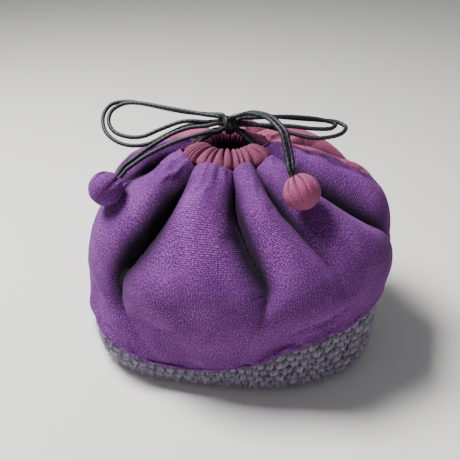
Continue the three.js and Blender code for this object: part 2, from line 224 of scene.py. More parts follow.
@dataclass(frozen=True)
class WovenCloth:
    """A plain weave, read from a UV map in metres: round crossing threads with pale flecks, and painted
    shade in its folds.
    """

    name: str
    painted_shade: int
    dark: int
    middle: int
    light: int
    pitch: float
    relief: float
    sheen: float
    roughness: float

    def build(self) -> bpy.types.Material:
        """Build the cloth's material, with painted shade that is darkest where "relief" says that the cloth
        lies deep in a fold.

        Returns:
            The material.
        """
        material, tree = new_material(self.name)
        place = add_node(tree, "ShaderNodeTexCoord").outputs["UV"]
        fold = add_node(tree, "ShaderNodeAttribute", {"attribute_name": "relief"})
        waves_per_metre = TAU / (20 * self.pitch)
        weft = add_node(tree, "ShaderNodeTexWave", {"bands_direction": "X"}, {
            "Vector": place, "Scale": waves_per_metre, "Distortion": 1.2, "Detail Scale": 0.4})
        warp = add_node(tree, "ShaderNodeTexWave", {"bands_direction": "Y"}, {
            "Vector": place, "Scale": waves_per_metre, "Distortion": 1.2, "Detail Scale": 0.4})
        threads = add_node(tree, "ShaderNodeMath", {"operation": "MULTIPLY"}, {
            0: weft.outputs["Fac"], 1: warp.outputs["Fac"]})
        fleck = add_node(tree, "ShaderNodeTexNoise", inputs={
            "Vector": place, "Scale": 0.95 / self.pitch, "Detail": 2.0, "Roughness": 0.7})
        mottle = add_node(tree, "ShaderNodeTexNoise", inputs={
            "Vector": place, "Scale": 60.0, "Detail": 4.0})
        shade = add_node(tree, "ShaderNodeMath", {"operation": "MULTIPLY_ADD"}, {
            0: fleck.outputs["Fac"], 1: 1.7, 2: -0.63})
        shade = add_node(tree, "ShaderNodeMath", {"operation": "MULTIPLY_ADD"}, {
            0: mottle.outputs["Fac"], 1: 0.35, 2: shade.outputs[0]})
        shade = add_node(tree, "ShaderNodeMath", {"operation": "MULTIPLY_ADD"}, {
            0: threads.outputs[0], 1: 0.45, 2: shade.outputs[0]})
        ramp = add_node(tree, "ShaderNodeValToRGB", inputs={0: shade.outputs[0]})
        ramp.color_ramp.elements[0].position = 0.15
        ramp.color_ramp.elements[0].color = linear(self.dark)
        ramp.color_ramp.elements[1].position = 1.0
        ramp.color_ramp.elements[1].color = linear(self.light)
        ramp.color_ramp.elements.new(0.55).color = linear(self.middle)
        # Painted shade: where "relief" is low, deep in a fold, the colour goes over to the first, near-black
        # colour.
        shadowed = add_node(tree, "ShaderNodeMix", {"data_type": "RGBA"}, {
            0: fold.outputs["Fac"], 6: linear(self.painted_shade), 7: ramp.outputs[0]})
        height = add_node(tree, "ShaderNodeMath", {"operation": "ADD"}, {
            0: threads.outputs[0], 1: fleck.outputs["Fac"]})
        bump = add_node(tree, "ShaderNodeBump", inputs={
            "Height": height.outputs[0], "Strength": 0.5, "Distance": self.relief})
        shader = add_node(tree, "ShaderNodeBsdfPrincipled", inputs={
            "Base Color": shadowed.outputs[2], "Roughness": self.roughness, "IOR": 1.5,
            "Sheen Weight": self.sheen, "Sheen Roughness": 0.4,
            "Sheen Tint": linear(self.light), "Normal": bump.outputs[0],
            "Specular IOR Level": 0.2})
        add_node(tree, "ShaderNodeOutputMaterial", inputs={"Surface": shader.outputs[0]})
        return material


@dataclass(frozen=True)
class KnittedYarn:
    """Brushed yarn with a fine fuzz: painted pale on top of each stitch, with painted shade between them."""

    name: str
    dark: int
    light: int
    fibre: float

    def build(self) -> bpy.types.Material:
        """Build the yarn's material, which reads how high the surface stands from "relief" and paints shade
        where it stands low.

        Returns:
            The material.
        """
        material, tree = new_material(self.name)
        place = add_node(tree, "ShaderNodeTexCoord").outputs["Object"]
        relief = add_node(tree, "ShaderNodeAttribute", {"attribute_name": "relief"})
        fibre = add_node(tree, "ShaderNodeTexNoise", inputs={
            "Vector": place, "Scale": 1 / self.fibre, "Detail": 4.0, "Roughness": 0.65})
        blotch = add_node(tree, "ShaderNodeTexNoise", inputs={
            "Vector": place, "Scale": 90.0, "Detail": 2.0})
        # Painted shade: the lower the relief, between the stitches, the darker the yarn.
        shade = add_node(tree, "ShaderNodeMath", {"operation": "MULTIPLY_ADD"}, {
            0: relief.outputs["Fac"], 1: 1.0, 2: -0.42})
        shade = add_node(tree, "ShaderNodeMath", {"operation": "MULTIPLY_ADD"}, {
            0: fibre.outputs["Fac"], 1: 0.62, 2: shade.outputs[0]})
        shade = add_node(tree, "ShaderNodeMath", {"operation": "MULTIPLY_ADD"}, {
            0: blotch.outputs["Fac"], 1: 0.3, 2: shade.outputs[0]})
        ramp = add_node(tree, "ShaderNodeValToRGB", inputs={0: shade.outputs[0]})
        ramp.color_ramp.elements[0].position = 0.1
        ramp.color_ramp.elements[0].color = linear(self.dark)
        ramp.color_ramp.elements[1].position = 0.9
        ramp.color_ramp.elements[1].color = linear(self.light)
        bump = add_node(tree, "ShaderNodeBump", inputs={
            "Height": fibre.outputs["Fac"], "Strength": 0.8, "Distance": 0.6 * MM})
        shader = add_node(tree, "ShaderNodeBsdfPrincipled", inputs={
            "Base Color": ramp.outputs[0], "Roughness": 0.95, "IOR": 1.5,
            "Sheen Weight": 0.5, "Sheen Roughness": 0.6, "Sheen Tint": linear(self.light),
            "Normal": bump.outputs[0], "Specular IOR Level": 0.15})
        add_node(tree, "ShaderNodeOutputMaterial", inputs={"Surface": shader.outputs[0]})
        return material


@dataclass(frozen=True)
class WaxedCotton:
    """Braided cotton cord, dyed black and waxed, with a painted highlight along the tops of the braid."""

    name: str
    dark: int
    light: int

    def build(self) -> bpy.types.Material:
        """Build the cord's material, with a painted highlight where "relief" says that the braid stands
        high.

        Returns:
            The material.
        """
        material, tree = new_material(self.name)
        place = add_node(tree, "ShaderNodeTexCoord").outputs["Object"]
        relief = add_node(tree, "ShaderNodeAttribute", {"attribute_name": "relief"})
        wax_and_highlight = add_node(tree, "ShaderNodeTexNoise", inputs={
            "Vector": place, "Scale": 700.0, "Detail": 3.0})
        # Painted highlight: the tops of the braid turn paler, in spots set by the wax noise.
        shade = add_node(tree, "ShaderNodeMath", {"operation": "MULTIPLY"}, {
            0: relief.outputs["Fac"], 1: wax_and_highlight.outputs["Fac"]})
        ramp = add_node(tree, "ShaderNodeValToRGB", inputs={0: shade.outputs[0]})
        ramp.color_ramp.elements[0].position = 0.25
        ramp.color_ramp.elements[0].color = linear(self.dark)
        ramp.color_ramp.elements[1].position = 0.7
        ramp.color_ramp.elements[1].color = linear(self.light)
        rough = add_node(tree, "ShaderNodeMapRange", inputs={
            "Value": wax_and_highlight.outputs["Fac"], "To Min": 0.4, "To Max": 0.7})
        bump = add_node(tree, "ShaderNodeBump", inputs={
            "Height": wax_and_highlight.outputs["Fac"], "Strength": 0.4, "Distance": 0.15 * MM})
        shader = add_node(tree, "ShaderNodeBsdfPrincipled", inputs={
            "Base Color": ramp.outputs[0], "Roughness": rough.outputs[0], "IOR": 1.45,
            "Normal": bump.outputs[0]})
        add_node(tree, "ShaderNodeOutputMaterial", inputs={"Surface": shader.outputs[0]})
        return material


# Purple linen: matt, with round threads and pale flecks that catch the light on the petals. The
# threads of such a cloth are finer than this; they are drawn coarser, so that they show.
# Its first colour is painted shade, for the cloth deep in a fold and in the left ball's gathers.
LINEN = WovenCloth("linen_purple_plain_weave", 0x0B0411, 0x36103F, 0x5F2470, 0xB276C4,
                   0.85 * MM, 0.3 * MM, 0.2, 0.9)
# Soft dyed cotton: a finer weave, flatter and a little smoother than the linen, also drawn coarser.
# Its first colour is painted shade: deep in the folds of the back, over the whole casing and most in its
# creases, and in the right ball's gathers.
COTTON = WovenCloth("cotton_mauve_plain_weave", 0x1E0812, 0x6B2C49, 0x97486D, 0xC07A9B,
                    0.6 * MM, 0.12 * MM, 0.15, 0.85)
# The lining: thin dark cotton, seen only down the mouth.
# Its meshes carry a relief of 0, so the lining shows only its first colour: a painted shade near black,
# darker than the dark cloth itself.
LINING = WovenCloth("lining_dark_cotton", 0x0A0410, 0x160A20, 0x2A1240, 0x4A2868,
                    0.6 * MM, 0.1 * MM, 0.0, 0.95)
# Brushed wool-like yarn: soft, with no gloss, with painted shade between the stitches; its dark colour is
# that shade.
YARN = KnittedYarn("brushed_yarn_grey_lilac", 0x120E17, 0x9A90A6, 0.9 * MM)
# The loose ends of the same yarn: single fibres, which look paler than the yarn.
FIBRE = KnittedYarn("loose_fibre_grey_lilac", 0x6E677A, 0xC0B8CA, 0.9 * MM)
# Black cotton cord, braided and waxed; its second colour is a painted highlight on the tops of the braid.
CORD = WaxedCotton("waxed_cotton_cord_black", 0x050608, 0x2B3039)
# Loose cotton wadding: off-white and matt.
WADDING = KnittedYarn("cotton_wadding", 0xCFC9BE, 0xF0EDE6, 1.2 * MM)


# ---------------------------------------------------------------- mesh helpers


def mapped_grid(columns: int, rows: int, place: Place, size: tuple[float, float],
                join: float = 0.0, relief: Relief | None = None) -> bmesh.types.BMesh:
    """Make a grid and carry each of its points to its place on a surface.

    Args:
        columns: Faces across.
        rows: Faces up.
        place: Gives the places of points from their shares across and up, from 0 to 1.
        size: What the UV map measures across and up, in metres.
        join: Points nearer to each other than this are joined, which closes a ring's seam.
        relief: Gives how high each point stands, from 0 to 1, for the material to read.

    Returns:
        The mesh.
    """
    mesh = bmesh.new()
    high = mesh.verts.layers.float.new("relief")
    uv = mesh.loops.layers.uv.new("UVMap")
    bmesh.ops.create_grid(mesh, x_segments=columns, y_segments=rows, size=0.5, calc_uvs=True)
    mesh.verts.ensure_lookup_table()
    flat = np.array([vert.co[:2] for vert in mesh.verts]) + 0.5
    for face in mesh.faces:
        for loop in face.loops:
            loop[uv].uv = (loop[uv].uv[0] * size[0], loop[uv].uv[1] * size[1])
    for vert, point in zip(mesh.verts, place(flat[:, 0], flat[:, 1])):
        vert.co = point
    if relief:
        for vert, height in zip(mesh.verts, relief(flat[:, 0], flat[:, 1])):
            vert[high] = height
    if join:
        bmesh.ops.remove_doubles(mesh, verts=mesh.verts, dist=join)
    return mesh


def face_outwards(mesh: bmesh.types.BMesh) -> None:
    """Turn the faces of a closed shape so that they point out."""
    bmesh.ops.recalc_face_normals(mesh, faces=mesh.faces)


def face_away(mesh: bmesh.types.BMesh, inside: tuple[float, float, float]) -> None:
    """Turn the faces of an open sheet so that they point away from a place inside it.

    Args:
        mesh: The sheet.
        inside: The place to face away from, in metres.
    """
    mesh.normal_update()
    lean = sum(face.normal.dot(face.calc_center_median() - Vector(inside)) for face in mesh.faces)
    if lean < 0:
        bmesh.ops.reverse_faces(mesh, faces=mesh.faces)


def close_ends(mesh: bmesh.types.BMesh) -> None:
    """Fill the open ends of a tube and turn its faces out.

    Args:
        mesh: The tube.
    """
    edges = [edge for edge in mesh.edges if edge.is_boundary]
    bmesh.ops.holes_fill(mesh, edges=edges, sides=0)
    face_outwards(mesh)


def make_piece(name: str, mesh: bmesh.types.BMesh, finish: bpy.types.Material, body: Body,
               stands_for: tuple[str, ...] = ()) -> bpy.types.Object:
    """Turn a mesh into a finished piece that rides on its body.

    Args:
        name: The piece's name.
        mesh: Its shape, which is used up.
        finish: Its material.
        body: The body that it rides on.
        stands_for: The nodes that it takes the place of.

    Returns:
        The piece.
    """
    data = bpy.data.meshes.new(name)
    mesh.to_mesh(data)
    mesh.free()
    data.materials.append(finish)
    data.polygons.foreach_set("use_smooth", [True] * len(data.polygons))
    piece = bpy.data.objects.new(name, data)
    bpy.context.scene.collection.objects.link(piece)
    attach(piece, body.value)
    if stands_for:
        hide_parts(*stands_for)
    LOG.info("%s: %d faces on %s", name, len(data.polygons), body.value)
    return piece


def thicken(piece: bpy.types.Object, thickness: float) -> None:
    """Give a sheet its thickness, inwards.

    Args:
        piece: The sheet.
        thickness: How thick it gets, in metres.
    """
    wall = piece.modifiers.new("thickness", "SOLIDIFY")
    wall.thickness = thickness
    wall.offset = -1.0


# ---------------------------------------------------------------- cords


def routed(points: np.ndarray, spacing: float) -> np.ndarray:
    """Run a smooth centripetal curve through the points of a route.

    Args:
        points: The route, a point a row.
        spacing: How far apart the curve's own points are.

    Returns:
        The points of the curve.
    """
    padded = np.vstack([2 * points[0] - points[1], points, 2 * points[-1] - points[-2]])
    pieces = []
    for before, start, end, after in zip(padded, padded[1:], padded[2:], padded[3:]):
        steps = np.sqrt([np.linalg.norm(b - a) for a, b in ((before, start), (start, end), (end, after))])
        t1, t2, t3 = np.cumsum(np.maximum(steps, 1e-6))
        t = np.linspace(t1, t2, 24)[:-1, None]
        a1 = (t1 - t) / t1 * before + t / t1 * start
        a2 = (t2 - t) / (t2 - t1) * start + (t - t1) / (t2 - t1) * end
        a3 = (t3 - t) / (t3 - t2) * end + (t - t2) / (t3 - t2) * after
        b1 = (t2 - t) / t2 * a1 + t / t2 * a2
        b2 = (t3 - t) / (t3 - t1) * a2 + (t - t1) / (t3 - t1) * a3
        pieces.append((t2 - t) / (t2 - t1) * b1 + (t - t1) / (t2 - t1) * b2)
    fine = np.vstack([*pieces, points[-1]])
    along = np.concatenate([[0], np.cumsum(np.linalg.norm(np.diff(fine, axis=0), axis=1))])
    count = max(8, round(along[-1] / spacing))
    at = np.linspace(0, along[-1], count + 1)
    return np.stack([np.interp(at, along, fine[:, axis]) for axis in range(3)], axis=1)


def length_of(line: np.ndarray) -> float:
    """Return the length of a line of points."""
    return float(np.linalg.norm(np.diff(line, axis=0), axis=1).sum())


@dataclass(frozen=True)
class Braid:
    """A round cord with the relief of its braid, swept along a line."""

    radius: float = 1.25 * MM
    sides: int = 20
    spacing: float = 0.42 * MM
    plait: float = 3.1 * MM
    plaits: int = 4
    depth: float = 0.13

    def relief(self, angle: np.ndarray, along: np.ndarray) -> np.ndarray:
        """Return how high the braid stands, from 0 to 1, at an angle round it and a length along it.

        Args:
            angle: Angles round the cord.
            along: Lengths along it, in metres.

        Returns:
            The relief.
        """
        turn = TAU * along / self.plait
        one = np.cos(self.plaits * angle + turn)
        other = np.cos(self.plaits * angle - turn)
        return 0.5 + 0.5 * np.maximum(one, other)

    def sweep(self, line: np.ndarray) -> bmesh.types.BMesh:
        """Sweep the braid along a line.

        Args:
            line: The centreline's points, evenly spaced.

        Returns:
            The closed mesh.
        """
        ahead = unit(np.gradient(line, axis=0))
        sideways = np.zeros_like(line)
        start = np.cross(ahead[0], (0.0, 0.0, 1.0))
        sideways[0] = unit(start if np.linalg.norm(start) > 0.1 else np.cross(ahead[0], (1.0, 0.0, 0.0)))
        for i in range(1, len(line)):
            carried = sideways[i - 1] - ahead[i] * (sideways[i - 1] @ ahead[i])
            sideways[i] = unit(carried)
        upward = np.cross(ahead, sideways)
        last = len(line) - 1
        long = length_of(line)

        def place(u: np.ndarray, v: np.ndarray) -> np.ndarray:
            """Carry a share of the length and of the way round to the cord's surface.

            Args:
                u: Shares along, from 0 to 1.
                v: Shares round.

            Returns:
                The points, in metres.
            """
            ring = np.rint(u * last).astype(int)
            angle = TAU * v
            out = sideways[ring] * np.cos(angle)[:, None] + upward[ring] * np.sin(angle)[:, None]
            height = self.radius * (1 - self.depth * (1 - self.relief(angle, u * long)))
            return line[ring] + out * height[:, None]

        mesh = mapped_grid(last, self.sides, place, (long, TAU * self.radius), 0.01 * MM,
                           lambda u, v: self.relief(TAU * v, u * long))
        close_ends(mesh)
        return mesh


@dataclass(frozen=True)
class Ball:
    """Where a ball on the cords' ends sits, and which way the cords go into it."""

    centre: tuple[float, float, float]
    axis: tuple[float, float, float]
    radius: float = 9.8
    entry_straight: float = 3.2
    strand_offset: float = 1.45
    stop_face: float = 5.9

    def entry(self, side: int) -> list[list[float]]:
        """Return a strand's last points, in millimetres, on one side of the pair.

        Args:
            side: 1 or -1, for the two strands.

        Returns:
            The points, from outside the ball to its stop knot.
        """
        axis = unit(np.array(self.axis))
        across = unit(np.cross(axis, (0.0, 0.0, 1.0)))
        reaches = (self.radius + self.entry_straight, self.radius, self.stop_face)
        return [list(np.array(self.centre) + axis * r + across * side * self.strand_offset) for r in reaches]


LEFT_BALL = Ball((-70.2, -29, 108.2), (0.38, 0.88, 0.28))
RIGHT_BALL = Ball((38.4, -37.6, 117.6), (-0.49, 0.45, 0.75))


@dataclass(frozen=True)
class Strand:
    """One free strand of cord: how it leaves the knot, its route in millimetres, and its far end."""

    name: str
    body: Body
    leaves: tuple[float, float, float]
    route: tuple[tuple[float, float, float], ...]
    length: float
    returns: tuple[float, float, float] | None = None
    ball: Ball | None = None
    side: int = 0


LEFT_OUTER_LOOP = (
    (-21, 19.5, 137.3), (-34, 22.5, 136.8), (-48, 26, 137.4), (-61.5, 29, 138.5), (-73, 30, 139.2),
    (-81.6, 27.6, 137.8), (-85, 21.5, 133.4), (-81.6, 11, 127.2), (-73.6, 5, 123.2), (-64.5, 3, 121.6),
    (-54, 4, 122.7), (-43.5, 8.5, 127.2), (-32, 13.5, 131.6), (-20.5, 16.7, 133.4),
)
LEFT_INNER_LOOP = (
    (-20.5, 13.4, 139), (-34, 16.6, 139.6), (-49, 20.5, 140.2), (-63, 24, 140.6), (-72.8, 24.6, 139.6),
    (-79.4, 21, 136.2), (-80, 14.6, 131.6), (-75.5, 9.4, 127.4), (-67, 7, 125.4), (-57.4, 7.2, 126),
    (-46, 9, 130.8), (-33.5, 11.3, 135), (-21.5, 12.6, 134.9),
)
RIGHT_OUTER_LOOP = (
    (7, 17.6, 138.2), (20, 19.5, 137.6), (33.2, 22, 136.2), (46.6, 25, 134.8), (55.4, 25.4, 134),
    (60.4, 21.4, 132.6), (58.6, 16, 131), (52.5, 11.8, 129.9), (42, 9.6, 129.4), (30, 11, 131),
    (18, 14.3, 132.6), (7, 16.6, 133.6),
)
RIGHT_INNER_LOOP = (
    (8.5, 13.4, 138.6), (21, 15.3, 139.2), (34.5, 18.2, 138.4), (46.5, 20.6, 136.6),
    (54.2, 19.8, 134.8), (52.5, 16, 133.6), (43, 13.4, 133.6), (29, 12.6, 134.8), (14, 12.8, 134.6),
)
LEFT_UPPER_TAIL = (
    (-19.5, 7.4, 134.4), (-29, 7, 133), (-37.8, 5.4, 130), (-45.6, 3, 125.9), (-53.3, 0, 121.3),
    (-60.3, -4.2, 116.6), (-65, -10.4, 113.8),
)
LEFT_LOWER_TAIL = (
    (-18.6, 4.2, 131.6), (-28, 1.6, 129.4), (-36.4, -0.6, 126.8), (-45, -3.4, 123.2),
    (-53.6, -6.6, 118.8), (-59.2, -10.4, 115.4), (-62.4, -13.4, 113.4),
)
RIGHT_TAIL = (
    (1.2, 8.4, 141.8), (6, 5, 144.2), (12.8, -0.8, 145.6), (18.4, -7.2, 146.1), (22.7, -12.8, 144.8),
    (26.8, -18.2, 142.2), (29, -23, 136.8), (31, -27.6, 131.4),
)
RIGHT_TAIL_SPREAD = (1.15, 1.05, 0.0)


def shifted(route: tuple, sign: int) -> tuple:
    """Return the right tail's route, moved to one side by half the pair's spacing."""
    return tuple(tuple(np.array(point) + sign * np.array(RIGHT_TAIL_SPREAD)) for point in route)


STRANDS = (
    Strand("left_loop_outer", Body.LEFT_LOOP, (-3.6, 3.2, 3.4), LEFT_OUTER_LOOP, 0.180,
           returns=(-4.1, 4.2, 0.1)),
    Strand("left_loop_inner", Body.LEFT_LOOP, (-4.7, 0, 3.6), LEFT_INNER_LOOP, 0.160,
           returns=(-5.8, 1, 0.3)),
    Strand("right_loop_outer", Body.RIGHT_LOOP, (3.4, 3.4, 3.4), RIGHT_OUTER_LOOP, 0.142,
           returns=(4.2, 4.1, 0.1)),
    Strand("right_loop_inner", Body.RIGHT_LOOP, (4.9, 0.6, 3.2), RIGHT_INNER_LOOP, 0.121,
           returns=(5.8, 1, 0)),
    Strand("left_tail_upper", Body.LEFT_TAIL, (-5.25, -2.4, 1.2), LEFT_UPPER_TAIL, 0.081,
           ball=LEFT_BALL, side=-1),
    Strand("left_tail_lower", Body.LEFT_TAIL, (-4.1, -4, -1.5), LEFT_LOWER_TAIL, 0.076,
           ball=LEFT_BALL, side=1),
    Strand("right_tail_outer", Body.RIGHT_TAIL, (3, -1.6, 4.8), shifted(RIGHT_TAIL, 1), 0.075,
           ball=RIGHT_BALL, side=1),
    Strand("right_tail_inner", Body.RIGHT_TAIL, (0.6, -3.6, 4.6), shifted(RIGHT_TAIL, -1), 0.077,
           ball=RIGHT_BALL, side=-1),
)


@dataclass(frozen=True)
class Drawcord:
    """A cord that runs in at one end of the casing, once round the mouth, and back to the knot."""

    name: str
    radius: float
    start_degrees: float
    leaves: tuple[float, float, float]
    first_lead: tuple[tuple[float, float, float], ...]
    returns: tuple[float, float, float]
    last_lead: tuple[tuple[float, float, float], ...]


DRAWCORDS = (
    Drawcord(
        "left_drawcord", 20.2, 180,
        (-4.85, -1, -3.2),
        ((-15.6, 9.6, 129.6), (-20.6, 7.4, 127.2), (-24.3, 5.4, 124.4), (-25.8, 3.2, 122.3)),
        (-4.4, 2.4, -3.1),
        ((-15.6, 13.2, 130.2), (-20.6, 11, 128), (-24.6, 9.2, 124.8), (-25.8, 10.9, 122.3)),
    ),
    Drawcord(
        "right_drawcord", 15.8, 0,
        (4.4, 2.4, -3.1), ((1.8, 12.9, 130), (5.2, 10.9, 128), (8.4, 9.4, 124.8), (9.7, 9.9, 122.3)),
        (4.85, -1, -3.2), ((1.8, 9.2, 129.4), (5, 7.4, 127.2), (8, 5.9, 124.6), (9.6, 4.2, 122.4)),
    ),
)


@dataclass
class Cords:
    """The waxed cords: two drawcords, the bow's loops and tails, and the knot."""

    braid: Braid = field(default_factory=Braid)
    knot: tuple[float, float, float] = (-6.5, 12.0, 134.0)
    knot_radius: float = 5.5
    gap: float = 0.35
    straight: float = 1.6
    tucked: float = 3.0
    casing_end_degrees: float = 18.0
    turns_in_knot: float = 2.0
    # turn about the upright, half depth, half height and how far it winds sideways
    wraps: tuple[tuple[float, float, float, float], ...] = (
        (0.0, 3.7, 4.3, 4.6), (0.8, 3.2, 3.5, 4.4), (-0.85, 3.1, 3.6, 4.4),
    )

    def leaving(self, direction: tuple[float, float, float]) -> list[list[float]]:
        """Return a strand's first points, in millimetres, out from inside the knot's wraps.

        Args:
            direction: The way out of the knot.

        Returns:
            The points.
        """
        way = unit(np.array(direction, float))
        start = self.knot_radius + self.gap
        return [list(np.array(self.knot) + way * r) for r in (self.tucked, start, start + self.straight)]

    def build_strand(self, strand: Strand, finish: bpy.types.Material) -> bpy.types.Object:
        """Build one loop or tail and return it.

        Args:
            strand: The strand.
            finish: Its material.

        Returns:
            The piece, which keeps its route.
        """
        points = self.leaving(strand.leaves) + [list(point) for point in strand.route]
        if strand.returns:
            points += self.leaving(strand.returns)[::-1]
        if strand.ball:
            points += strand.ball.entry(strand.side)
        line = routed(np.array(points, float) * MM, self.braid.spacing)
        mesh = self.braid.sweep(line)
        piece = make_piece(f"{strand.name}_cord", mesh, finish, strand.body, (strand.name,))
        piece["route"] = json.dumps([[round(float(x), 6) for x in p] for p in line[::3]])
        LOG.info("%s: %.1f mm of cord", piece.name, length_of(line) / MM)
        return piece

    def build_drawcord(self, cord: Drawcord, finish: bpy.types.Material) -> bpy.types.Object:
        """Build one drawcord, from the knot round the mouth and back.

        Args:
            cord: The drawcord.
            finish: Its material.

        Returns:
            The piece.
        """
        end = self.casing_end_degrees
        angles = np.radians(cord.start_degrees + np.linspace(end, 360 - end, 21))
        arc = [[MOUTH[0] + cord.radius * math.cos(a), MOUTH[1] + cord.radius * math.sin(a), MOUTH[2]]
               for a in angles]
        points = self.leaving(cord.leaves) + [list(p) for p in cord.first_lead] + arc
        points += [list(p) for p in reversed(cord.last_lead)] + self.leaving(cord.returns)[::-1]
        mesh = self.braid.sweep(routed(np.array(points, float) * MM, self.braid.spacing))
        return make_piece(f"{cord.name}_cord", mesh, finish, Body.POUCH, (cord.name,))

    def build_knot(self, finish: bpy.types.Material) -> bpy.types.Object:
        """Build the knot as turns of cord that wrap the middle of the bow.

        Args:
            finish: Its material.

        Returns:
            The piece.
        """
        centre = np.array(self.knot) * MM
        turn = np.linspace(0, TAU * self.turns_in_knot, 80)
        whole = bmesh.new()
        for yaw, deep, tall, pitch in self.wraps:
            along = (turn / turn[-1] - 0.5) * pitch
            flat = np.stack([along, deep * np.cos(turn), tall * np.sin(turn)], axis=1) * MM
            c, s = math.cos(yaw), math.sin(yaw)
            spin = np.array([[c, -s, 0], [s, c, 0], [0, 0, 1]])
            mesh = self.braid.sweep(routed(centre + flat @ spin.T, self.braid.spacing))
            data = bpy.data.meshes.new("wrap")
            mesh.to_mesh(data)
            mesh.free()
            whole.from_mesh(data)
            bpy.data.meshes.remove(data)
        return make_piece("bow_knot_wraps", whole, finish, Body.POUCH, ("bow_knot",))

    def build(self, finish: bpy.types.Material) -> dict[str, bpy.types.Object]:
        """Build every cord and return them by the name of the node that each stands for.

        Args:
            finish: The cord material.

        Returns:
            Each piece by the name of its node.
        """
        pieces = {strand.name: self.build_strand(strand, finish) for strand in STRANDS}
        for cord in DRAWCORDS:
            pieces[cord.name] = self.build_drawcord(cord, finish)
        pieces["bow_knot"] = self.build_knot(finish)
        return pieces

    def declare(self, pieces: dict[str, bpy.types.Object]) -> None:
        """Read the route that each free strand's piece keeps, and take it off the piece.

        Args:
            pieces: Every cord by the name of its node.
        """
        for strand in STRANDS:
            piece = pieces[strand.name]
            path = json.loads(piece["route"])
            del piece["route"]


# ---------------------------------------------------------------- the form of the pouch


@dataclass(frozen=True)
class Valley:
    """A deep fold between two gathers: where it runs on its way up, and how deep it is there."""

    # rise, angle in degrees, depth in millimetres; from where it dies out on the belly to the casing
    course: tuple[tuple[float, float, float], ...]


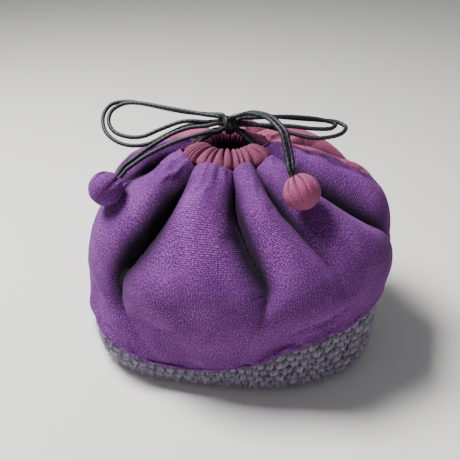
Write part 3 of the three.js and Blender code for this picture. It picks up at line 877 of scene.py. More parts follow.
@dataclass
class PouchForm:
    """The outer form, from the foot (rise 0) to the edge of the casing (rise 1)."""

    # height, half width, half depth, squareness, x, y, lift of the back, skew; millimetres
    levels: tuple[tuple[float, ...], ...] = (
        (0, 80, 60, 2.9, 0, 0, 0, 0.45), (12, 85, 66, 2.8, 0, 0, 0, 0.45),
        (28, 86, 70, 2.7, 0, 0, 0, 0.45), (48, 86.5, 74, 2.5, 1, 0, 0, 0.35),
        (72, 88, 78, 2.3, 3, 0, 1, 0.25), (96, 80, 72, 2.15, 2, 3, 9, 0.1),
        (114.5, 53, 50, 2, -3, 6, 6, 0), (120, 27.2, 27.2, 2, -6, 7, 0, 0),
    )
    # the rise of the seam between cloth and knit, every 30 degrees from the right round by the back
    seam_rises: tuple[float, ...] = (
        0.44, 0.43, 0.41, 0.39, 0.385, 0.385, 0.385, 0.345, 0.23, 0.24, 0.35, 0.412,
    )
    valleys: tuple[Valley, ...] = (
        Valley(((0.62, -176, 0), (0.74, -172, 6), (0.83, -168, 11), (0.9, -168, 13), (0.96, -174, 9),
                (1, -178, 2.5))),
        Valley(((0.28, -118, 0), (0.36, -125, 2.5), (0.43, -131, 4.5), (0.5, -135, 8), (0.6, -136, 12),
                (0.7, -132, 17), (0.8, -127, 19), (0.9, -126, 17), (0.95, -128, 10), (1, -130, 2.5))),
        Valley(((0.3, -84, 0), (0.4, -80, 2), (0.5, -76, 4.5), (0.6, -73.5, 7.5), (0.68, -73.5, 10.5),
                (0.74, -76, 13.5), (0.8, -79, 17), (0.88, -81, 17), (0.95, -79, 10), (1, -77, 2.5))),
        Valley(((0.44, -40, 0), (0.55, -43, 2.5), (0.7, -47, 5.5), (0.8, -50, 10), (0.88, -52, 14),
                (0.94, -51, 10), (1, -47, 2.5))),
        Valley(((0.5, 6, 0), (0.6, -4, 4), (0.7, -13, 10), (0.8, -20, 15), (0.88, -20, 15),
                (0.95, -13, 9), (1, -7, 2.5))),
        Valley(((0.58, 36, 0), (0.7, 36, 6), (0.84, 34, 12), (0.94, 33, 8), (1, 32, 2.5))),
        Valley(((0.5, 70, 0), (0.66, 70, 7), (0.82, 72, 14), (0.94, 73, 9), (1, 72, 2.5))),
        Valley(((0.6, 116, 0), (0.72, 115, 6), (0.86, 113, 12), (0.95, 112, 7), (1, 112, 2.5))),
        Valley(((0.54, 158, 0), (0.68, 156, 7), (0.84, 153, 13), (0.94, 151, 8), (1, 150, 2.5))),
    )

    roundness: float = 0.72
    body_puff: float = 1.6
    neck_puff: float = 2.6
    pleat_depth: float = 0.3
    slack_depth: float = 0.9
    # how deep the cloth lies, in millimetres, where its painted shade starts and where it is darkest
    painted_shade_depths: tuple[float, float] = (1.5, 10.0)

    def section(self, rise: np.ndarray) -> np.ndarray:
        """Return the oval's eight measures at each rise, in millimetres.

        Args:
            rise: The rises, from 0 at the foot to 1 at the casing.

        Returns:
            A row of eight measures for each.
        """
        table = np.array(self.levels, float)
        padded = np.vstack([2 * table[0] - table[1], table, 2 * table[-1] - table[-2]])
        at = np.clip(rise, 0, 1) * (len(table) - 1)
        index = np.minimum(at.astype(int), len(table) - 2)
        t = (at - index)[:, None]
        before, start, end, after = (padded[index + step] for step in range(4))
        return cubic(before, start, end, after, t)

    def point(self, angle: np.ndarray, rise: np.ndarray) -> np.ndarray:
        """Return the points of the smooth form, in metres.

        Args:
            angle: The angles.
            rise: The rises.

        Returns:
            The points, in metres.
        """
        height, wide, deep, square, x, y, lift, skew = self.section(rise).T
        power = square + skew * np.sin(2 * angle)
        across = np.abs(np.cos(angle) / wide) ** power
        along = np.abs(np.sin(angle) / deep) ** power
        radius = (across + along) ** (-1 / power)
        return np.stack([x + radius * np.cos(angle), y + radius * np.sin(angle),
                         height + lift * np.sin(angle)], axis=1) * MM

    def normal(self, angle: np.ndarray, rise: np.ndarray) -> np.ndarray:
        """Return the smooth form's outward directions.

        Args:
            angle: The angles.
            rise: The rises.

        Returns:
            The directions, each one long.
        """
        step = 0.004
        up = self.point(angle, np.minimum(rise + step, 1)) - self.point(angle, np.maximum(rise - step, 0))
        around = self.point(angle + step, rise) - self.point(angle - step, rise)
        return unit(np.cross(around, up))

    def inset(self, angle: np.ndarray, rise: np.ndarray, depth: np.ndarray | float) -> np.ndarray:
        """Return points a depth, in metres, inside the smooth form."""
        deep = np.broadcast_to(depth, angle.shape)[:, None]
        return self.point(angle, rise) - self.normal(angle, rise) * deep

    def seam(self, angle: np.ndarray) -> np.ndarray:
        """Return the rise of the seam between knit and cloth.

        Args:
            angle: The angles.

        Returns:
            The rises.
        """
        count = len(self.seam_rises)
        rises = np.array(self.seam_rises)
        at = count * (angle / TAU % 1)
        index = np.floor(at).astype(int)
        t = at - index
        before, start, end, after = (rises[(index + step) % count] for step in (-1, 0, 1, 2))
        return cubic(before, start, end, after, t)

    def petals(self, angle: np.ndarray, rise: np.ndarray) -> tuple[np.ndarray, np.ndarray]:
        """Find where each point lies on the petals of cloth between the valleys.

        Args:
            angle: The points' angles.
            rise: Their rises.

        Returns:
            How far the cloth falls there, in millimetres, and its place from 0 in a valley to 1 on a crown.
        """
        middles, depths = [], []
        for valley in self.valleys:
            rises, degrees, deep = np.array(valley.course, float).T
            middles.append(np.radians(eased(rise, rises, degrees)))
            depths.append(eased(rise, rises, deep))
        middles, depths = np.array(middles), np.array(depths)
        past = (angle - middles) % TAU
        ahead = (middles - angle) % TAU
        here = np.arange(len(angle))
        first, second = past.argmin(axis=0), ahead.argmin(axis=0)
        share = past[first, here] / np.maximum(past[first, here] + ahead[second, here], 1e-9)
        depth = depths[first, here] * (1 - share) + depths[second, here] * share
        crown = np.clip(4 * share * (1 - share), 0, 1)
        return depth * (1 - crown ** self.roundness), crown

    def sink(self, angle: np.ndarray, rise: np.ndarray) -> np.ndarray:
        """Return how far the gathered cloth lies inside the smooth form, in metres.

        Args:
            angle: The angles.
            rise: The rises.

        Returns:
            The depths, less than 0 where the cloth puffs out.
        """
        fall, crown = self.petals(angle, rise)
        puff = self.body_puff * smoothstep(rise, 0.5, 0.85)
        puff = puff + self.neck_puff * smoothstep(rise, 0.88, 1.0) * crown
        pleat = ripple(angle, 0.15 * rise, 5, 26, 40) * smoothstep(rise, 0.88, 0.97)
        slack = ripple(angle, rise, 11, 3, 11) * smoothstep(rise, 0.36, 0.58)
        return (fall - puff + self.pleat_depth * pleat + self.slack_depth * slack) * MM

    def openness(self, angle: np.ndarray, rise: np.ndarray) -> np.ndarray:
        """Return 1 where the cloth lies open to the light, down to 0 deep in a valley."""
        return 1 - smoothstep(self.petals(angle, rise)[0], *self.painted_shade_depths)


# ---------------------------------------------------------------- the pieces of the pouch


@dataclass
class Slack:
    """A short cloth simulation, which lets a gathered panel crumple where it has cloth to spare.

    It runs on a coarse copy of the panel, held along its four edges, and its result is carried over
    to the fine mesh, so that no simulation is left on the piece.
    """

    columns: int = 90
    rows: int = 56
    frames: int = 20
    spare: float = 0.045
    cap: float = 3.0 * MM

    def settle(self, place: Place) -> np.ndarray:
        """Run the simulation.

        Args:
            place: Lays shares across and up on the panel.

        Returns:
            How far each point of the coarse grid moved, row by row.
        """
        shape = (self.rows + 1, self.columns + 1, 3)
        data = bpy.data.meshes.new("slack_cloth")
        mesh = mapped_grid(self.columns, self.rows, place, (1.0, 1.0))
        mesh.to_mesh(data)
        mesh.free()
        cloth = bpy.data.objects.new("slack_cloth", data)
        bpy.context.scene.collection.objects.link(cloth)
        before = np.array([vert.co for vert in data.vertices])
        index = np.arange(len(before)).reshape(shape[:2])
        edges = np.unique(np.concatenate([index[0], index[-1], index[:, 0], index[:, -1]]))
        cloth.vertex_groups.new(name="held").add(edges.tolist(), 1.0, "REPLACE")
        run = cloth.modifiers.new("slack", "CLOTH")
        run.settings.vertex_group_mass = "held"
        run.settings.shrink_min = -self.spare
        run.settings.quality = 6
        run.settings.bending_stiffness = 0.4
        run.settings.air_damping = 4.0
        run.settings.effector_weights.gravity = 0.0
        run.point_cache.frame_end = self.frames
        for frame_number in range(1, self.frames + 1):
            bpy.context.scene.frame_set(frame_number)
        solved = cloth.evaluated_get(bpy.context.evaluated_depsgraph_get())
        after = np.array([vert.co for vert in solved.data.vertices])
        bpy.data.objects.remove(cloth)
        bpy.data.meshes.remove(data)
        bpy.context.scene.frame_set(1)
        moved = after - before
        far = np.linalg.norm(moved, axis=1, keepdims=True)
        LOG.info("cloth moved %.2f mm at most, %.2f mm on average", far.max() / MM, far.mean() / MM)
        return (moved * self.cap * np.tanh(far / self.cap) / np.maximum(far, 1e-9)).reshape(shape)

    def read(self, moved: np.ndarray, u: np.ndarray, v: np.ndarray) -> np.ndarray:
        """Return how far the cloth moved at shares across and up, between the points of the grid.

        Args:
            moved: The movement of each point of the grid.
            u: Shares across.
            v: Shares up.

        Returns:
            The movement at each place.
        """
        x, y = u * self.columns, v * self.rows
        i = np.minimum(x.astype(int), self.columns - 1)
        j = np.minimum(y.astype(int), self.rows - 1)
        s, t = (x - i)[:, None], (y - j)[:, None]
        low = moved[j, i] * (1 - s) + moved[j, i + 1] * s
        high = moved[j + 1, i] * (1 - s) + moved[j + 1, i + 1] * s
        return low * (1 - t) + high * t


@dataclass
class ClothBody:
    """The linen front and the cotton back, gathered up to the casing."""

    form: PouchForm
    columns: int = 264
    rows: int = 170
    thickness: float = 1.1 * MM
    side_gap: float = math.radians(0.12)
    left_seam: float = math.radians(-192)
    right_seam: float = math.radians(17)
    hem_lip: float = 2.2 * MM
    hem_height: float = 0.045
    roll_depth: float = 1.6 * MM
    roll_height: float = 0.009
    side_depth: float = 1.1 * MM
    side_width: float = 0.006
    tongue_width: float = 0.17
    tongue_reach: float = 0.3
    front_flat: tuple[float, float] = (0.316, 0.130)
    back_flat: tuple[float, float] = (0.224, 0.118)

    def place(self, start: float, end: float) -> Place:
        """Return the function that lays a grid on the cloth between two angles.

        Args:
            start: The first angle.
            end: The other angle.

        Returns:
            The function.
        """
        def laid(u: np.ndarray, v: np.ndarray) -> np.ndarray:
            """Lay shares across and up on the gathered cloth.

            Args:
                u: Shares across, from 0 to 1.
                v: Shares up, from 0 to 1.

            Returns:
                The points, in metres.
            """
            angle, rise = self.spot(start, end, u, v)
            hem = self.hem_lip * swell(v, self.hem_height)
            roll = -self.roll_depth * swell(v, self.roll_height)
            near, far = (swell(share, self.side_width) for share in (u, 1 - u))
            side = self.side_depth * (near + far)
            point = self.form.inset(angle, rise, self.form.sink(angle, rise) - hem - roll + side)
            beside = np.abs((angle + math.pi / 2) % math.pi - math.pi / 2)
            tongue = swell(beside, self.tongue_width) * smoothstep(rise, 0.92, 1.0)
            inwards = (np.array(MOUTH) * MM - point) * [1.0, 1.0, 0.0]
            return point + inwards * (self.tongue_reach * tongue)[:, None]
        return laid

    def spot(self, start: float, end: float, u: np.ndarray, v: np.ndarray) -> tuple[np.ndarray, np.ndarray]:
        """Return the angle and rise of shares across and up a panel.

        Args:
            start: The angle of the first side seam.
            end: The angle of the other.
            u: Shares across, from 0 to 1.
            v: Shares up, from 0 to 1.

        Returns:
            The angles and the rises.
        """
        angle = start + self.side_gap + (end - start - 2 * self.side_gap) * u
        low = self.form.seam(angle) - SEAM_LAP
        return angle, low + (1 - low) * v

    def build_panel(self, name: str, node: str, start: float, end: float, flat: tuple[float, float],
                    finish: bpy.types.Material) -> bpy.types.Object:
        """Build one panel as a sheet of cloth with its thickness.

        Args:
            name: The panel's name.
            node: The node that it stands for.
            start: The angle of its first side seam.
            end: The angle of its other side seam.
            flat: The width and height of the cloth that it is cut from, in metres.
            finish: Its material.

        Returns:
            The panel.
        """
        gathered = self.place(start, end)
        slack = Slack()
        moved = slack.settle(gathered)
        # The relief is the cloth's openness, which sets its painted shade in the valleys.
        mesh = mapped_grid(self.columns, self.rows,
                           lambda u, v: gathered(u, v) + slack.read(moved, u, v), flat,
                           relief=lambda u, v: self.form.openness(*self.spot(start, end, u, v)))
        face_away(mesh, (0.0, 0.0, 0.05))
        piece = make_piece(name, mesh, finish, Body.POUCH, (node,))
        thicken(piece, self.thickness)
        return piece

    def build(self, linen: bpy.types.Material, cotton: bpy.types.Material) -> None:
        """Build both panels.

        Args:
            linen: The front's material.
            cotton: The back's material.
        """
        left, right = self.left_seam, self.right_seam
        self.build_panel("front_panel_cloth", "front_panel", left, right, self.front_flat, linen)
        self.build_panel("back_panel_cloth", "back_panel", right, left + TAU, self.back_flat, cotton)


@dataclass
class KnittedFoot:
    """The knitted band and base, with the relief of their stitches and a fuzz of loose fibre."""

    form: PouchForm
    stitches: int = 84
    row_height: float = 5.4
    columns: int = 828
    rows: int = 57
    depth: float = 2.6 * MM
    yarn_inset: float = 1.6 * MM
    band_clearance: float = 0.8 * MM
    thickness: float = 1.2 * MM
    foot_tuck: float = 3.2 * MM
    top_tuck: float = 2.0 * MM
    base_inset: float = 4.6 * MM
    base_stitches: int = 64
    base_rounds: int = 11
    base_height: float = 1.3
    base_relief: float = 1.0
    hairs: int = 13000
    hair_root: float = 0.07 * MM
    hair_tip: float = 0.02 * MM
    hair_lengths: tuple[float, float] = (1.4, 5.0)
    hair_curl: float = 0.45
    band_flat: tuple[float, float] = (0.520, 0.051)
    band_area: float = 0.0204
    base_flat: tuple[float, float] = (0.152, 0.112)
    base_area: float = 0.0149

    @staticmethod
    def stitch(across: np.ndarray, up: np.ndarray) -> np.ndarray:
        """Return the relief, from 0 to 1, of plump stitches one unit wide and one unit tall.

        Args:
            across: Stitches across.
            up: Rows up.

        Returns:
            The relief.
        """
        row = np.floor(up)
        a = (across + 0.5 * (row % 2)) % 1 - 0.5
        b = up - row
        legs = [np.exp(-(((a - side * (0.1 + 0.16 * b)) / 0.21) ** 2)) for side in (-1, 1)]
        return np.maximum(*legs) * np.sin(math.pi * np.clip(b, 0.02, 0.98)) ** 0.6

    def relief(self, angle: np.ndarray, height: np.ndarray) -> np.ndarray:
        """Return the uneven relief of hand-knitted rows at heights in millimetres.

        Args:
            angle: The angles.
            height: The heights, in millimetres.

        Returns:
            The relief, from 0 to 1.
        """
        up = height / self.row_height
        wander = 0.3 * ripple(angle, up / 9, 21, 5, 17)
        plump = self.stitch(self.stitches * angle / TAU + wander, up + 0.6 * wander)
        return np.clip(plump * (0.8 + 0.2 * ripple(angle, up / 3, 22, 20, 70)), 0, 1)

    def wall(self, u: np.ndarray, v: np.ndarray) -> tuple[np.ndarray, np.ndarray, np.ndarray]:
        """Return the angle, the rise and the relief of shares round and up the band.

        Args:
            u: Shares round, from 0 to 1.
            v: Shares up, from 0 to 1.

        Returns:
            The angle, the rise and the relief.
        """
        angle = TAU * u
        rise = (self.form.seam(angle) + SEAM_LAP) * v
        return angle, rise, self.relief(angle, self.form.section(rise)[:, 0])

    def build_band(self, finish: bpy.types.Material) -> bpy.types.Object:
        """Build the band that goes up the wall from the foot to the seam.

        Args:
            finish: Its material.

        Returns:
            The piece.
        """
        def laid(u: np.ndarray, v: np.ndarray) -> np.ndarray:
            """Lay shares round and up on the knitted wall, turned under at its foot.

            Args:
                u: Shares round, from 0 to 1.
                v: Shares up, from 0 to 1.

            Returns:
                The points, in metres.
            """
            angle, rise, height = self.wall(u, v)
            tuck = self.foot_tuck * swell(v, 0.05) + self.top_tuck * smoothstep(v, 0.93, 1.0)
            point = self.form.inset(angle, rise, self.yarn_inset + tuck - self.depth * height)
            point[:, 2] = np.maximum(point[:, 2], self.band_clearance)
            return point

        # The stitches' relief also sets the yarn's painted shade between them.
        mesh = mapped_grid(self.columns, self.rows, laid, (0.519, 0.042), 0.02 * MM,
                           lambda u, v: self.wall(u, v)[2])
        face_away(mesh, (0.0, 0.0, 0.02))
        piece = make_piece("knit_band_stitches", mesh, finish, Body.POUCH, ("knit_band",))
        thicken(piece, self.thickness)
        return piece

    def build_base(self, finish: bpy.types.Material) -> bpy.types.Object:
        """Build the flat base in rounds of stitches.

        Args:
            finish: Its material.

        Returns:
            The piece.
        """
        def relief(u: np.ndarray, v: np.ndarray) -> np.ndarray:
            """Return the relief of the rounds of stitches."""
            return self.stitch(self.base_stitches * u, v * self.base_rounds)

        def laid(u: np.ndarray, v: np.ndarray) -> np.ndarray:
            """Lay shares round and inwards on the base.

            Args:
                u: Shares round, from 0 to 1.
                v: Shares inwards.

            Returns:
                The points, in metres.
            """
            angle = TAU * u
            edge = self.form.inset(angle, np.zeros_like(angle), self.base_inset)
            point = edge * (1 - v)[:, None]
            height = relief(u, v) * smoothstep(1 - v, 0.1, 0.8)
            point[:, 2] = (self.base_height - self.base_relief * height) * MM
            return point

        # The stitches' relief also sets the yarn's painted shade between them.
        mesh = mapped_grid(384, 66, laid, (0.42, 0.06), 0.02 * MM, relief)
        face_away(mesh, (0.0, 0.0, 0.05))
        piece = make_piece("knit_base_stitches", mesh, finish, Body.POUCH, ("knit_base",))
        thicken(piece, self.thickness)
        return piece

    def build_fuzz(self, finish: bpy.types.Material) -> bpy.types.Object:
        """Build the loose fibres that stand off the yarn.

        Args:
            finish: Its material.

        Returns:
            The piece.
        """
        draw = np.random.default_rng(40)
        angle = draw.uniform(0, TAU, self.hairs)
        rise = draw.uniform(0.02, 0.99, self.hairs) * self.form.seam(angle)
        root = self.form.inset(angle, rise, 0.4 * MM)
        lean = unit(self.form.normal(angle, rise) * 0.6 + draw.normal(0, 0.6, (self.hairs, 3)))
        curl = unit(draw.normal(0, 1, (self.hairs, 3)))
        long = draw.uniform(*self.hair_lengths, self.hairs) * MM

        hair = bmesh.new()
        bmesh.ops.create_cone(hair, segments=3, radius1=self.hair_root, radius2=self.hair_tip,
                              depth=1.0, cap_ends=True)
        long_edges = [e for e in hair.edges if abs(e.verts[0].co.z - e.verts[1].co.z) > 0.5]
        bmesh.ops.subdivide_edges(hair, edges=long_edges, cuts=1, use_grid_fill=True)
        high = hair.verts.layers.float.new("relief")
        for vert in hair.verts:
            vert[high] = 0.85
        shape = np.array([vert.co for vert in hair.verts])
        data = bpy.data.meshes.new("hair")
        hair.to_mesh(data)
        hair.free()
        whole = bmesh.new()
        for _ in range(self.hairs):
            whole.from_mesh(data)
        bpy.data.meshes.remove(data)
        share = shape[:, 2] + 0.5
        side = unit(np.cross(lean, curl))
        upper = np.cross(lean, side)
        curled = curl[:, None] * (self.hair_curl * share ** 2)[None, :, None]
        bent = lean[:, None] * share[None, :, None] + curled
        places = root[:, None] + bent * long[:, None, None]
        places = places + side[:, None] * shape[None, :, :1] + upper[:, None] * shape[None, :, 1:2]
        places[..., 2] = np.maximum(places[..., 2], 0.0001)
        for vert, point in zip(whole.verts, places.reshape(-1, 3)):
            vert.co = point
        return make_piece("knit_fuzz", whole, finish, Body.POUCH)

    def build(self, finish: bpy.types.Material, fibre: bpy.types.Material) -> None:
        """Build the band, the base and the fuzz.

        Args:
            finish: The yarn's material.
            fibre: The fuzz's material.
        """
        band, base = self.build_band(finish), self.build_base(finish)
        fuzz = self.build_fuzz(fibre)


@dataclass
class Casing:
    """The ruffled tube round the mouth: uneven fat folds that run down into the gathered panels."""

    form: PouchForm
    hole: float = 11.0
    half_height: float = 5.2
    slope: float = 1.9
    tuck: float = -1.3
    zigzag: float = 2.4
    end_degrees: float = 8.0
    strip_length: float = 0.095
    strip_width: float = 0.036
    thickness: float = 0.6 * MM
    # degrees, and how deep the crease is by the hole and by the cloth, as shares of the height
    creases: tuple[tuple[float, float, float], ...] = (
        (-166, 0.4, 0.3), (-151, 0.85, 0.5), (-144, 0.6, 0.5), (-137, 0.5, 0.5), (-130, 0.9, 0.55),
        (-112, 0.9, 0.5), (-104, 0.5, 0.5), (-91, 0.95, 0.4), (-77, 0.95, 0.6), (-67, 0.5, 0.5),
        (-60, 0.95, 0.45), (-46, 0.95, 0.6), (-31, 0.85, 0.5), (-23, 0.5, 0.45), (-12, 0.7, 0.5),
        (12, 0.7, 0.4), (30, 0.85, 0.5), (39, 0.6, 0.5), (54, 0.9, 0.5), (66, 0.5, 0.5),
        (74, 0.8, 0.5), (92, 0.9, 0.4), (103, 0.6, 0.5), (112, 0.85, 0.55), (128, 0.85, 0.4),
        (137, 0.5, 0.5), (150, 0.9, 0.5), (166, 0.6, 0.4),
    )

    def fullness(self, degrees: np.ndarray, section: np.ndarray) -> np.ndarray:
        """Return how full the ruffle is round its section: 1 on a fold, less in a crease.

        Args:
            degrees: Angles round the mouth, in degrees.
            section: Angles round the ruffle's own section.

        Returns:
            The fullness.
        """
        table = np.array(self.creases)
        table = np.vstack([table[-1] - [360, 0, 0], table, table[0] + [360, 0, 0]])
        swing = degrees + 2.5 * np.cos(section) * np.sin(np.radians(5 * degrees))
        index = np.clip(np.searchsorted(table[:, 0], swing, side="right") - 1, 0, len(table) - 2)
        share = (swing - table[index, 0]) / (table[index + 1, 0] - table[index, 0])
        outer = 0.5 + 0.5 * np.cos(section)
        near, far = table[index], table[index + 1]
        deep = [line[:, 1] * (1 - outer) + line[:, 2] * outer for line in (near, far)]
        rounded = np.clip(4 * share * (1 - share), 0, 1) ** 0.6
        return 1 - (deep[0] * (1 - share) + deep[1] * share) * (1 - rounded)

    def build_half(self, name: str, node: str, start: float, end: float,
                   finish: bpy.types.Material) -> bpy.types.Object:
        """Build one half of the casing, with its ends turned in.

        Args:
            name: The piece's name.
            node: The node that it stands for.
            start: Where it starts, in degrees.
            end: Where it ends.
            finish: Its material.

        Returns:
            The piece.
        """
        centre = np.array(MOUTH)

        def laid(u: np.ndarray, v: np.ndarray) -> np.ndarray:
            """Lay shares along the tube and round its section.

            Args:
                u: Shares along the tube.
                v: Shares round its section.

            Returns:
                The points, in metres.
            """
            degrees = start + (end - start) * u
            angle, section = np.radians(degrees), TAU * v
            top = np.ones_like(angle)
            edge = self.form.inset(angle, top, self.form.sink(angle, top)) / MM
            outer = np.hypot(edge[:, 0] - centre[0], edge[:, 1] - centre[1]) + self.tuck
            full = self.fullness(degrees, section) * (1 + 0.05 * ripple(angle, v, 31, 7, 23))
            outer = outer + self.zigzag * (self.fullness(degrees, 0 * section) - 0.8)
            closed = 1 - 0.3 * (swell(u, 0.02) + swell(1 - u, 0.02))
            middle, half = 0.5 * (outer + self.hole), 0.5 * (outer - self.hole)
            inwards = np.clip(-np.cos(section), 0, 1) * (1 - full) * 0.5
            reach = middle + half * np.cos(section) * (1 - inwards)
            high = self.half_height * np.sin(section) * full * closed - self.slope * np.cos(section)
            return round_mouth(reach, angle, centre[2] + high) * MM

        def shown(u: np.ndarray, v: np.ndarray) -> np.ndarray:
            """Return how open each place is to the light, never above 0.6, so that painted shade darkens the
            whole casing and its creases most.
            """
            return 0.6 * smoothstep(self.fullness(start + (end - start) * u, TAU * v), 0.3, 0.9)

        mesh = mapped_grid(420, 56, laid, (self.strip_length, self.strip_width), 0.01 * MM, shown)
        face_outwards(mesh)
        piece = make_piece(name, mesh, finish, Body.POUCH, (node,))
        thicken(piece, self.thickness)
        return piece

    def build(self, finish: bpy.types.Material) -> None:
        """Build the front and the back half.

        Args:
            finish: Its material.
        """
        end = self.end_degrees
        self.build_half("front_casing_ruffle", "front_casing", -180 + end, -end, finish)
        self.build_half("back_casing_ruffle", "back_casing", end, 180 - end, finish)


@dataclass
class Lining:
    """The lining: a thin dark sleeve and floor, seen only down the mouth."""

    form: PouchForm
    thickness: float = 0.5 * MM
    foot_rise: float = 0.075
    neck_reach: float = 9.4
    neck_height: float = 115.2
    gather_depth: float = 0.7
    floor_height: float = 5.9
    sleeve_flat: tuple[float, float] = (0.50, 0.15)
    floor_flat: tuple[float, float] = (0.142, 0.102)
    floor_area: float = 0.0128

    def build(self, finish: bpy.types.Material) -> None:
        """Build the lining's wall and floor.

        Args:
            finish: Its material.
        """
        def laid(u: np.ndarray, v: np.ndarray) -> np.ndarray:
            """Lay shares round and up on the lining, gathered in to the mouth at its top.

            Args:
                u: Shares round, from 0 to 1.
                v: Shares up, from 0 to 1.

            Returns:
                The points, in metres.
            """
            angle = TAU * u
            neck = smoothstep(v, 0.80, 0.93)
            rise = self.foot_rise + 0.86 * np.minimum(v / 0.84, 1)
            wall = self.form.inset(angle, rise, self.form.sink(angle, rise) + 3.2 * MM)
            low = self.form.inset(angle, rise, 6.7 * MM)
            wall = low + (wall - low) * smoothstep(rise, 0.5, 0.7)[:, None]
            folds = self.gather_depth * np.abs(np.sin(13 * angle + 1.1 * np.sin(3 * angle)))
            reach = self.neck_reach + folds
            high = self.neck_height + 6.6 * smoothstep(v, 0.9, 1.0)
            rim = round_mouth(reach, angle, high)
            return wall + (rim * MM - wall) * neck[:, None]

        mesh = mapped_grid(240, 90, laid, self.sleeve_flat, 0.02 * MM)
        face_away(mesh, (0.0, 0.0, 0.05))
        wall = make_piece("lining_sleeve", mesh, finish, Body.POUCH, ("lining_wall",))
        thicken(wall, self.thickness)

        def floor(u: np.ndarray, v: np.ndarray) -> np.ndarray:
            """Lay shares round and inwards on the lining's floor.

            Args:
                u: Shares round, from 0 to 1.
                v: Shares inwards.

            Returns:
                The points, in metres.
            """
            angle = TAU * u
            edge = self.form.inset(angle, np.zeros_like(angle), 10 * MM)
            point = edge * (1 - v)[:, None]
            point[:, 2] = (self.floor_height + 0.25 * ripple(angle, v, 52, 2, 6) * (1 - v)) * MM
            return point

        mesh = mapped_grid(96, 24, floor, (0.4, 0.06), 0.02 * MM)
        base = make_piece("lining_floor_cloth", mesh, finish, Body.POUCH, ("lining_floor",))
        thicken(base, self.thickness)


@dataclass
class ClothBall:
    """A ball of wadding covered with cloth that is gathered where the cords go in."""

    side: str
    body: Body
    place: Ball
    slot: Slot
    pleats: int = 9
    seed: int = 1
    cover_radius: float = 9.8
    fill_radius: float = 8.2
    pucker_depth: float = 2.4
    dent_depth: float = 1.6
    knot_offset: float = 2.95

    def shell(self, radius: float) -> bmesh.types.BMesh:
        """Make the ball's skin, puckered round the cords.

        Args:
            radius: The ball's radius in millimetres.

        Returns:
            The closed mesh.
        """
        axis = unit(np.array(self.place.axis))
        across = unit(np.cross(axis, (0.0, 0.0, 1.0)))
        up = np.cross(across, axis)

        def pucker(u: np.ndarray, v: np.ndarray) -> np.ndarray:
            """Return how deep the gathers are, from 0 to 1, at shares round and from pole to pole.

            Args:
                u: Shares round.
                v: Shares from pole to pole.

            Returns:
                How deep, from 0 to 1.
            """
            tilt = math.pi * (1 - v)
            near = swell(tilt, 1.5) * np.minimum(tilt / 0.2, 1)
            fold = 0.5 + 0.5 * np.cos(self.pleats * TAU * u + 1.3 * np.sin(2 * TAU * u + self.seed))
            return near * fold ** 5

        def laid(u: np.ndarray, v: np.ndarray) -> np.ndarray:
            """Lay shares round and from the far pole to the entry.

            Args:
                u: Shares round.
                v: Shares from pole to pole.

            Returns:
                The points, in metres.
            """
            angle = TAU * u
            tilt = math.pi * (1 - v)
            dent = self.dent_depth * swell(tilt, 0.26)
            lumps = 0.2 * ripple(angle, v, 60 + self.seed, 2, 5) * np.sin(tilt)
            reach = radius - self.pucker_depth * pucker(u, v) - dent + lumps
            out = across * np.cos(angle)[:, None] + up * np.sin(angle)[:, None]
            point = out * np.sin(tilt)[:, None] + axis * np.cos(tilt)[:, None]
            return (np.array(self.place.centre) + point * reach[:, None]) * MM

        # The relief paints shade into the gathers round the cords.
        mesh = mapped_grid(160, 72, laid, (0.06, 0.03), 0.01 * MM, lambda u, v: 1 - 0.9 * pucker(u, v))
        face_outwards(mesh)
        return mesh

    def build(self, cloth: bpy.types.Material, wadding: bpy.types.Material,
              cord: bpy.types.Material) -> list[bpy.types.Object]:
        """Build the cover, the wadding and the stop knot, and return them.

        Args:
            cloth: The cover's material.
            wadding: The filling's material.
            cord: The knot's material.

        Returns:
            The three pieces.
        """
        cover = make_piece(f"{self.side}_ball_cloth", self.shell(self.cover_radius), cloth, self.body,
                           (f"{self.side}_ball_cover",))
        fill = make_piece(f"{self.side}_ball_fill", self.shell(self.fill_radius), wadding, self.body,
                          (f"{self.side}_ball_wadding",))
        axis = unit(np.array(self.place.axis))
        centre = (np.array(self.place.centre) + axis * self.knot_offset) * MM
        turn = np.linspace(0, 1.5 * TAU, 40)
        coil = np.stack([1.2 * np.cos(turn), 1.2 * np.sin(turn), 1.6 * (turn / turn[-1] - 0.5)], axis=1) * MM
        mesh = Braid(radius=1.1 * MM).sweep(routed(centre + coil, 0.42 * MM))
        stop = make_piece(f"{self.side}_ball_end_knot", mesh, cord, self.body,
                          (f"{self.side}_ball_stop_knot",))
        return [cover, fill, stop]


# ---------------------------------------------------------------- the studio


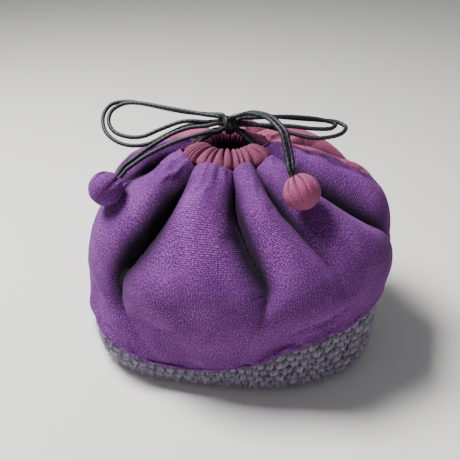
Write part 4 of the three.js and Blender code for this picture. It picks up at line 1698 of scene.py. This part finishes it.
@dataclass
class Studio:
    """The camera, a plain pale floor and soft light."""

    azimuth: float = 8.0
    elevation: float = 29.0
    distance: float = 0.398
    target: tuple[float, float, float] = (-0.0045, 0.0, 0.071)
    lens: float = 51.0
    floor_colour: int = 0xE6E4E0
    sky_colour: int = 0xDADDE2
    sky_strength: float = 0.29
    # place in metres, power in watts and size in metres
    lights: tuple[tuple[str, tuple[float, float, float], float, float], ...] = (
        ("key", (-0.42, 0.02, 0.85), 21.0, 0.35), ("fill", (0.4, -0.8, 0.35), 0.6, 0.6),
    )

    def add_camera(self) -> None:
        """Set up the camera."""
        a, e = math.radians(self.azimuth), math.radians(self.elevation)
        back = Vector((math.sin(a) * math.cos(e), -math.cos(a) * math.cos(e), math.sin(e)))
        camera = bpy.data.objects.new("camera", bpy.data.cameras.new("camera"))
        camera.data.lens = self.lens
        camera.data.clip_start = 0.01
        camera.location = Vector(self.target) + back * self.distance
        camera.rotation_euler = back.to_track_quat("Z", "Y").to_euler()
        bpy.context.scene.collection.objects.link(camera)
        bpy.context.scene.camera = camera

    def add_light(self, name: str, place: tuple, power: float, size: float) -> None:
        """Add one soft light that points at the pouch.

        Args:
            name: The light's name.
            place: Where it is, in metres.
            power: Its power in watts.
            size: Its width in metres.
        """
        light = bpy.data.lights.new(name, "AREA")
        light.energy = power
        light.size = size
        lamp = bpy.data.objects.new(name, light)
        lamp.location = place
        lamp.rotation_euler = (Vector(place) - Vector(self.target)).to_track_quat("Z", "Y").to_euler()
        bpy.context.scene.collection.objects.link(lamp)

    def add_stage(self) -> None:
        """Add the floor, the world and the lights."""
        mesh = bmesh.new()
        bmesh.ops.create_grid(mesh, x_segments=1, y_segments=1, size=2.0)
        data = bpy.data.meshes.new("floor")
        mesh.to_mesh(data)
        mesh.free()
        floor = bpy.data.objects.new("floor", data)
        bpy.context.scene.collection.objects.link(floor)
        material, tree = new_material("pale_floor")
        shader = add_node(tree, "ShaderNodeBsdfPrincipled", inputs={
            "Base Color": linear(self.floor_colour), "Roughness": 0.85})
        add_node(tree, "ShaderNodeOutputMaterial", inputs={"Surface": shader.outputs[0]})
        data.materials.append(material)
        world = bpy.data.worlds.new("studio")
        world.use_nodes = True
        world.node_tree.nodes["Background"].inputs[0].default_value = linear(self.sky_colour)
        world.node_tree.nodes["Background"].inputs[1].default_value = self.sky_strength
        bpy.context.scene.world = world
        for light in self.lights:
            self.add_light(*light)


def main() -> None:
    """Build the pouch, piece by piece."""
    logging.basicConfig(level=logging.INFO, format="%(message)s")
    studio = Studio()
    studio.add_camera()
    linen, cotton, lining = LINEN.build(), COTTON.build(), LINING.build()
    yarn, fibre, waxed, wadding = YARN.build(), FIBRE.build(), CORD.build(), WADDING.build()
    cords = Cords()
    strands = cords.build(waxed)
    left = ClothBall("left", Body.LEFT_TAIL, LEFT_BALL, Slot.LINEN, 8, 1).build(linen, wadding, waxed)
    right = ClothBall("right", Body.RIGHT_TAIL, RIGHT_BALL, Slot.COTTON, 10, 2).build(cotton, wadding, waxed)
    cords.declare(strands)
    form = PouchForm()
    ClothBody(form).build(linen, cotton)
    Casing(form).build(cotton)
    Lining(form).build(lining)
    KnittedFoot(form).build(yarn, fibre)
    studio.add_stage()


if __name__ == "__main__":
    main()
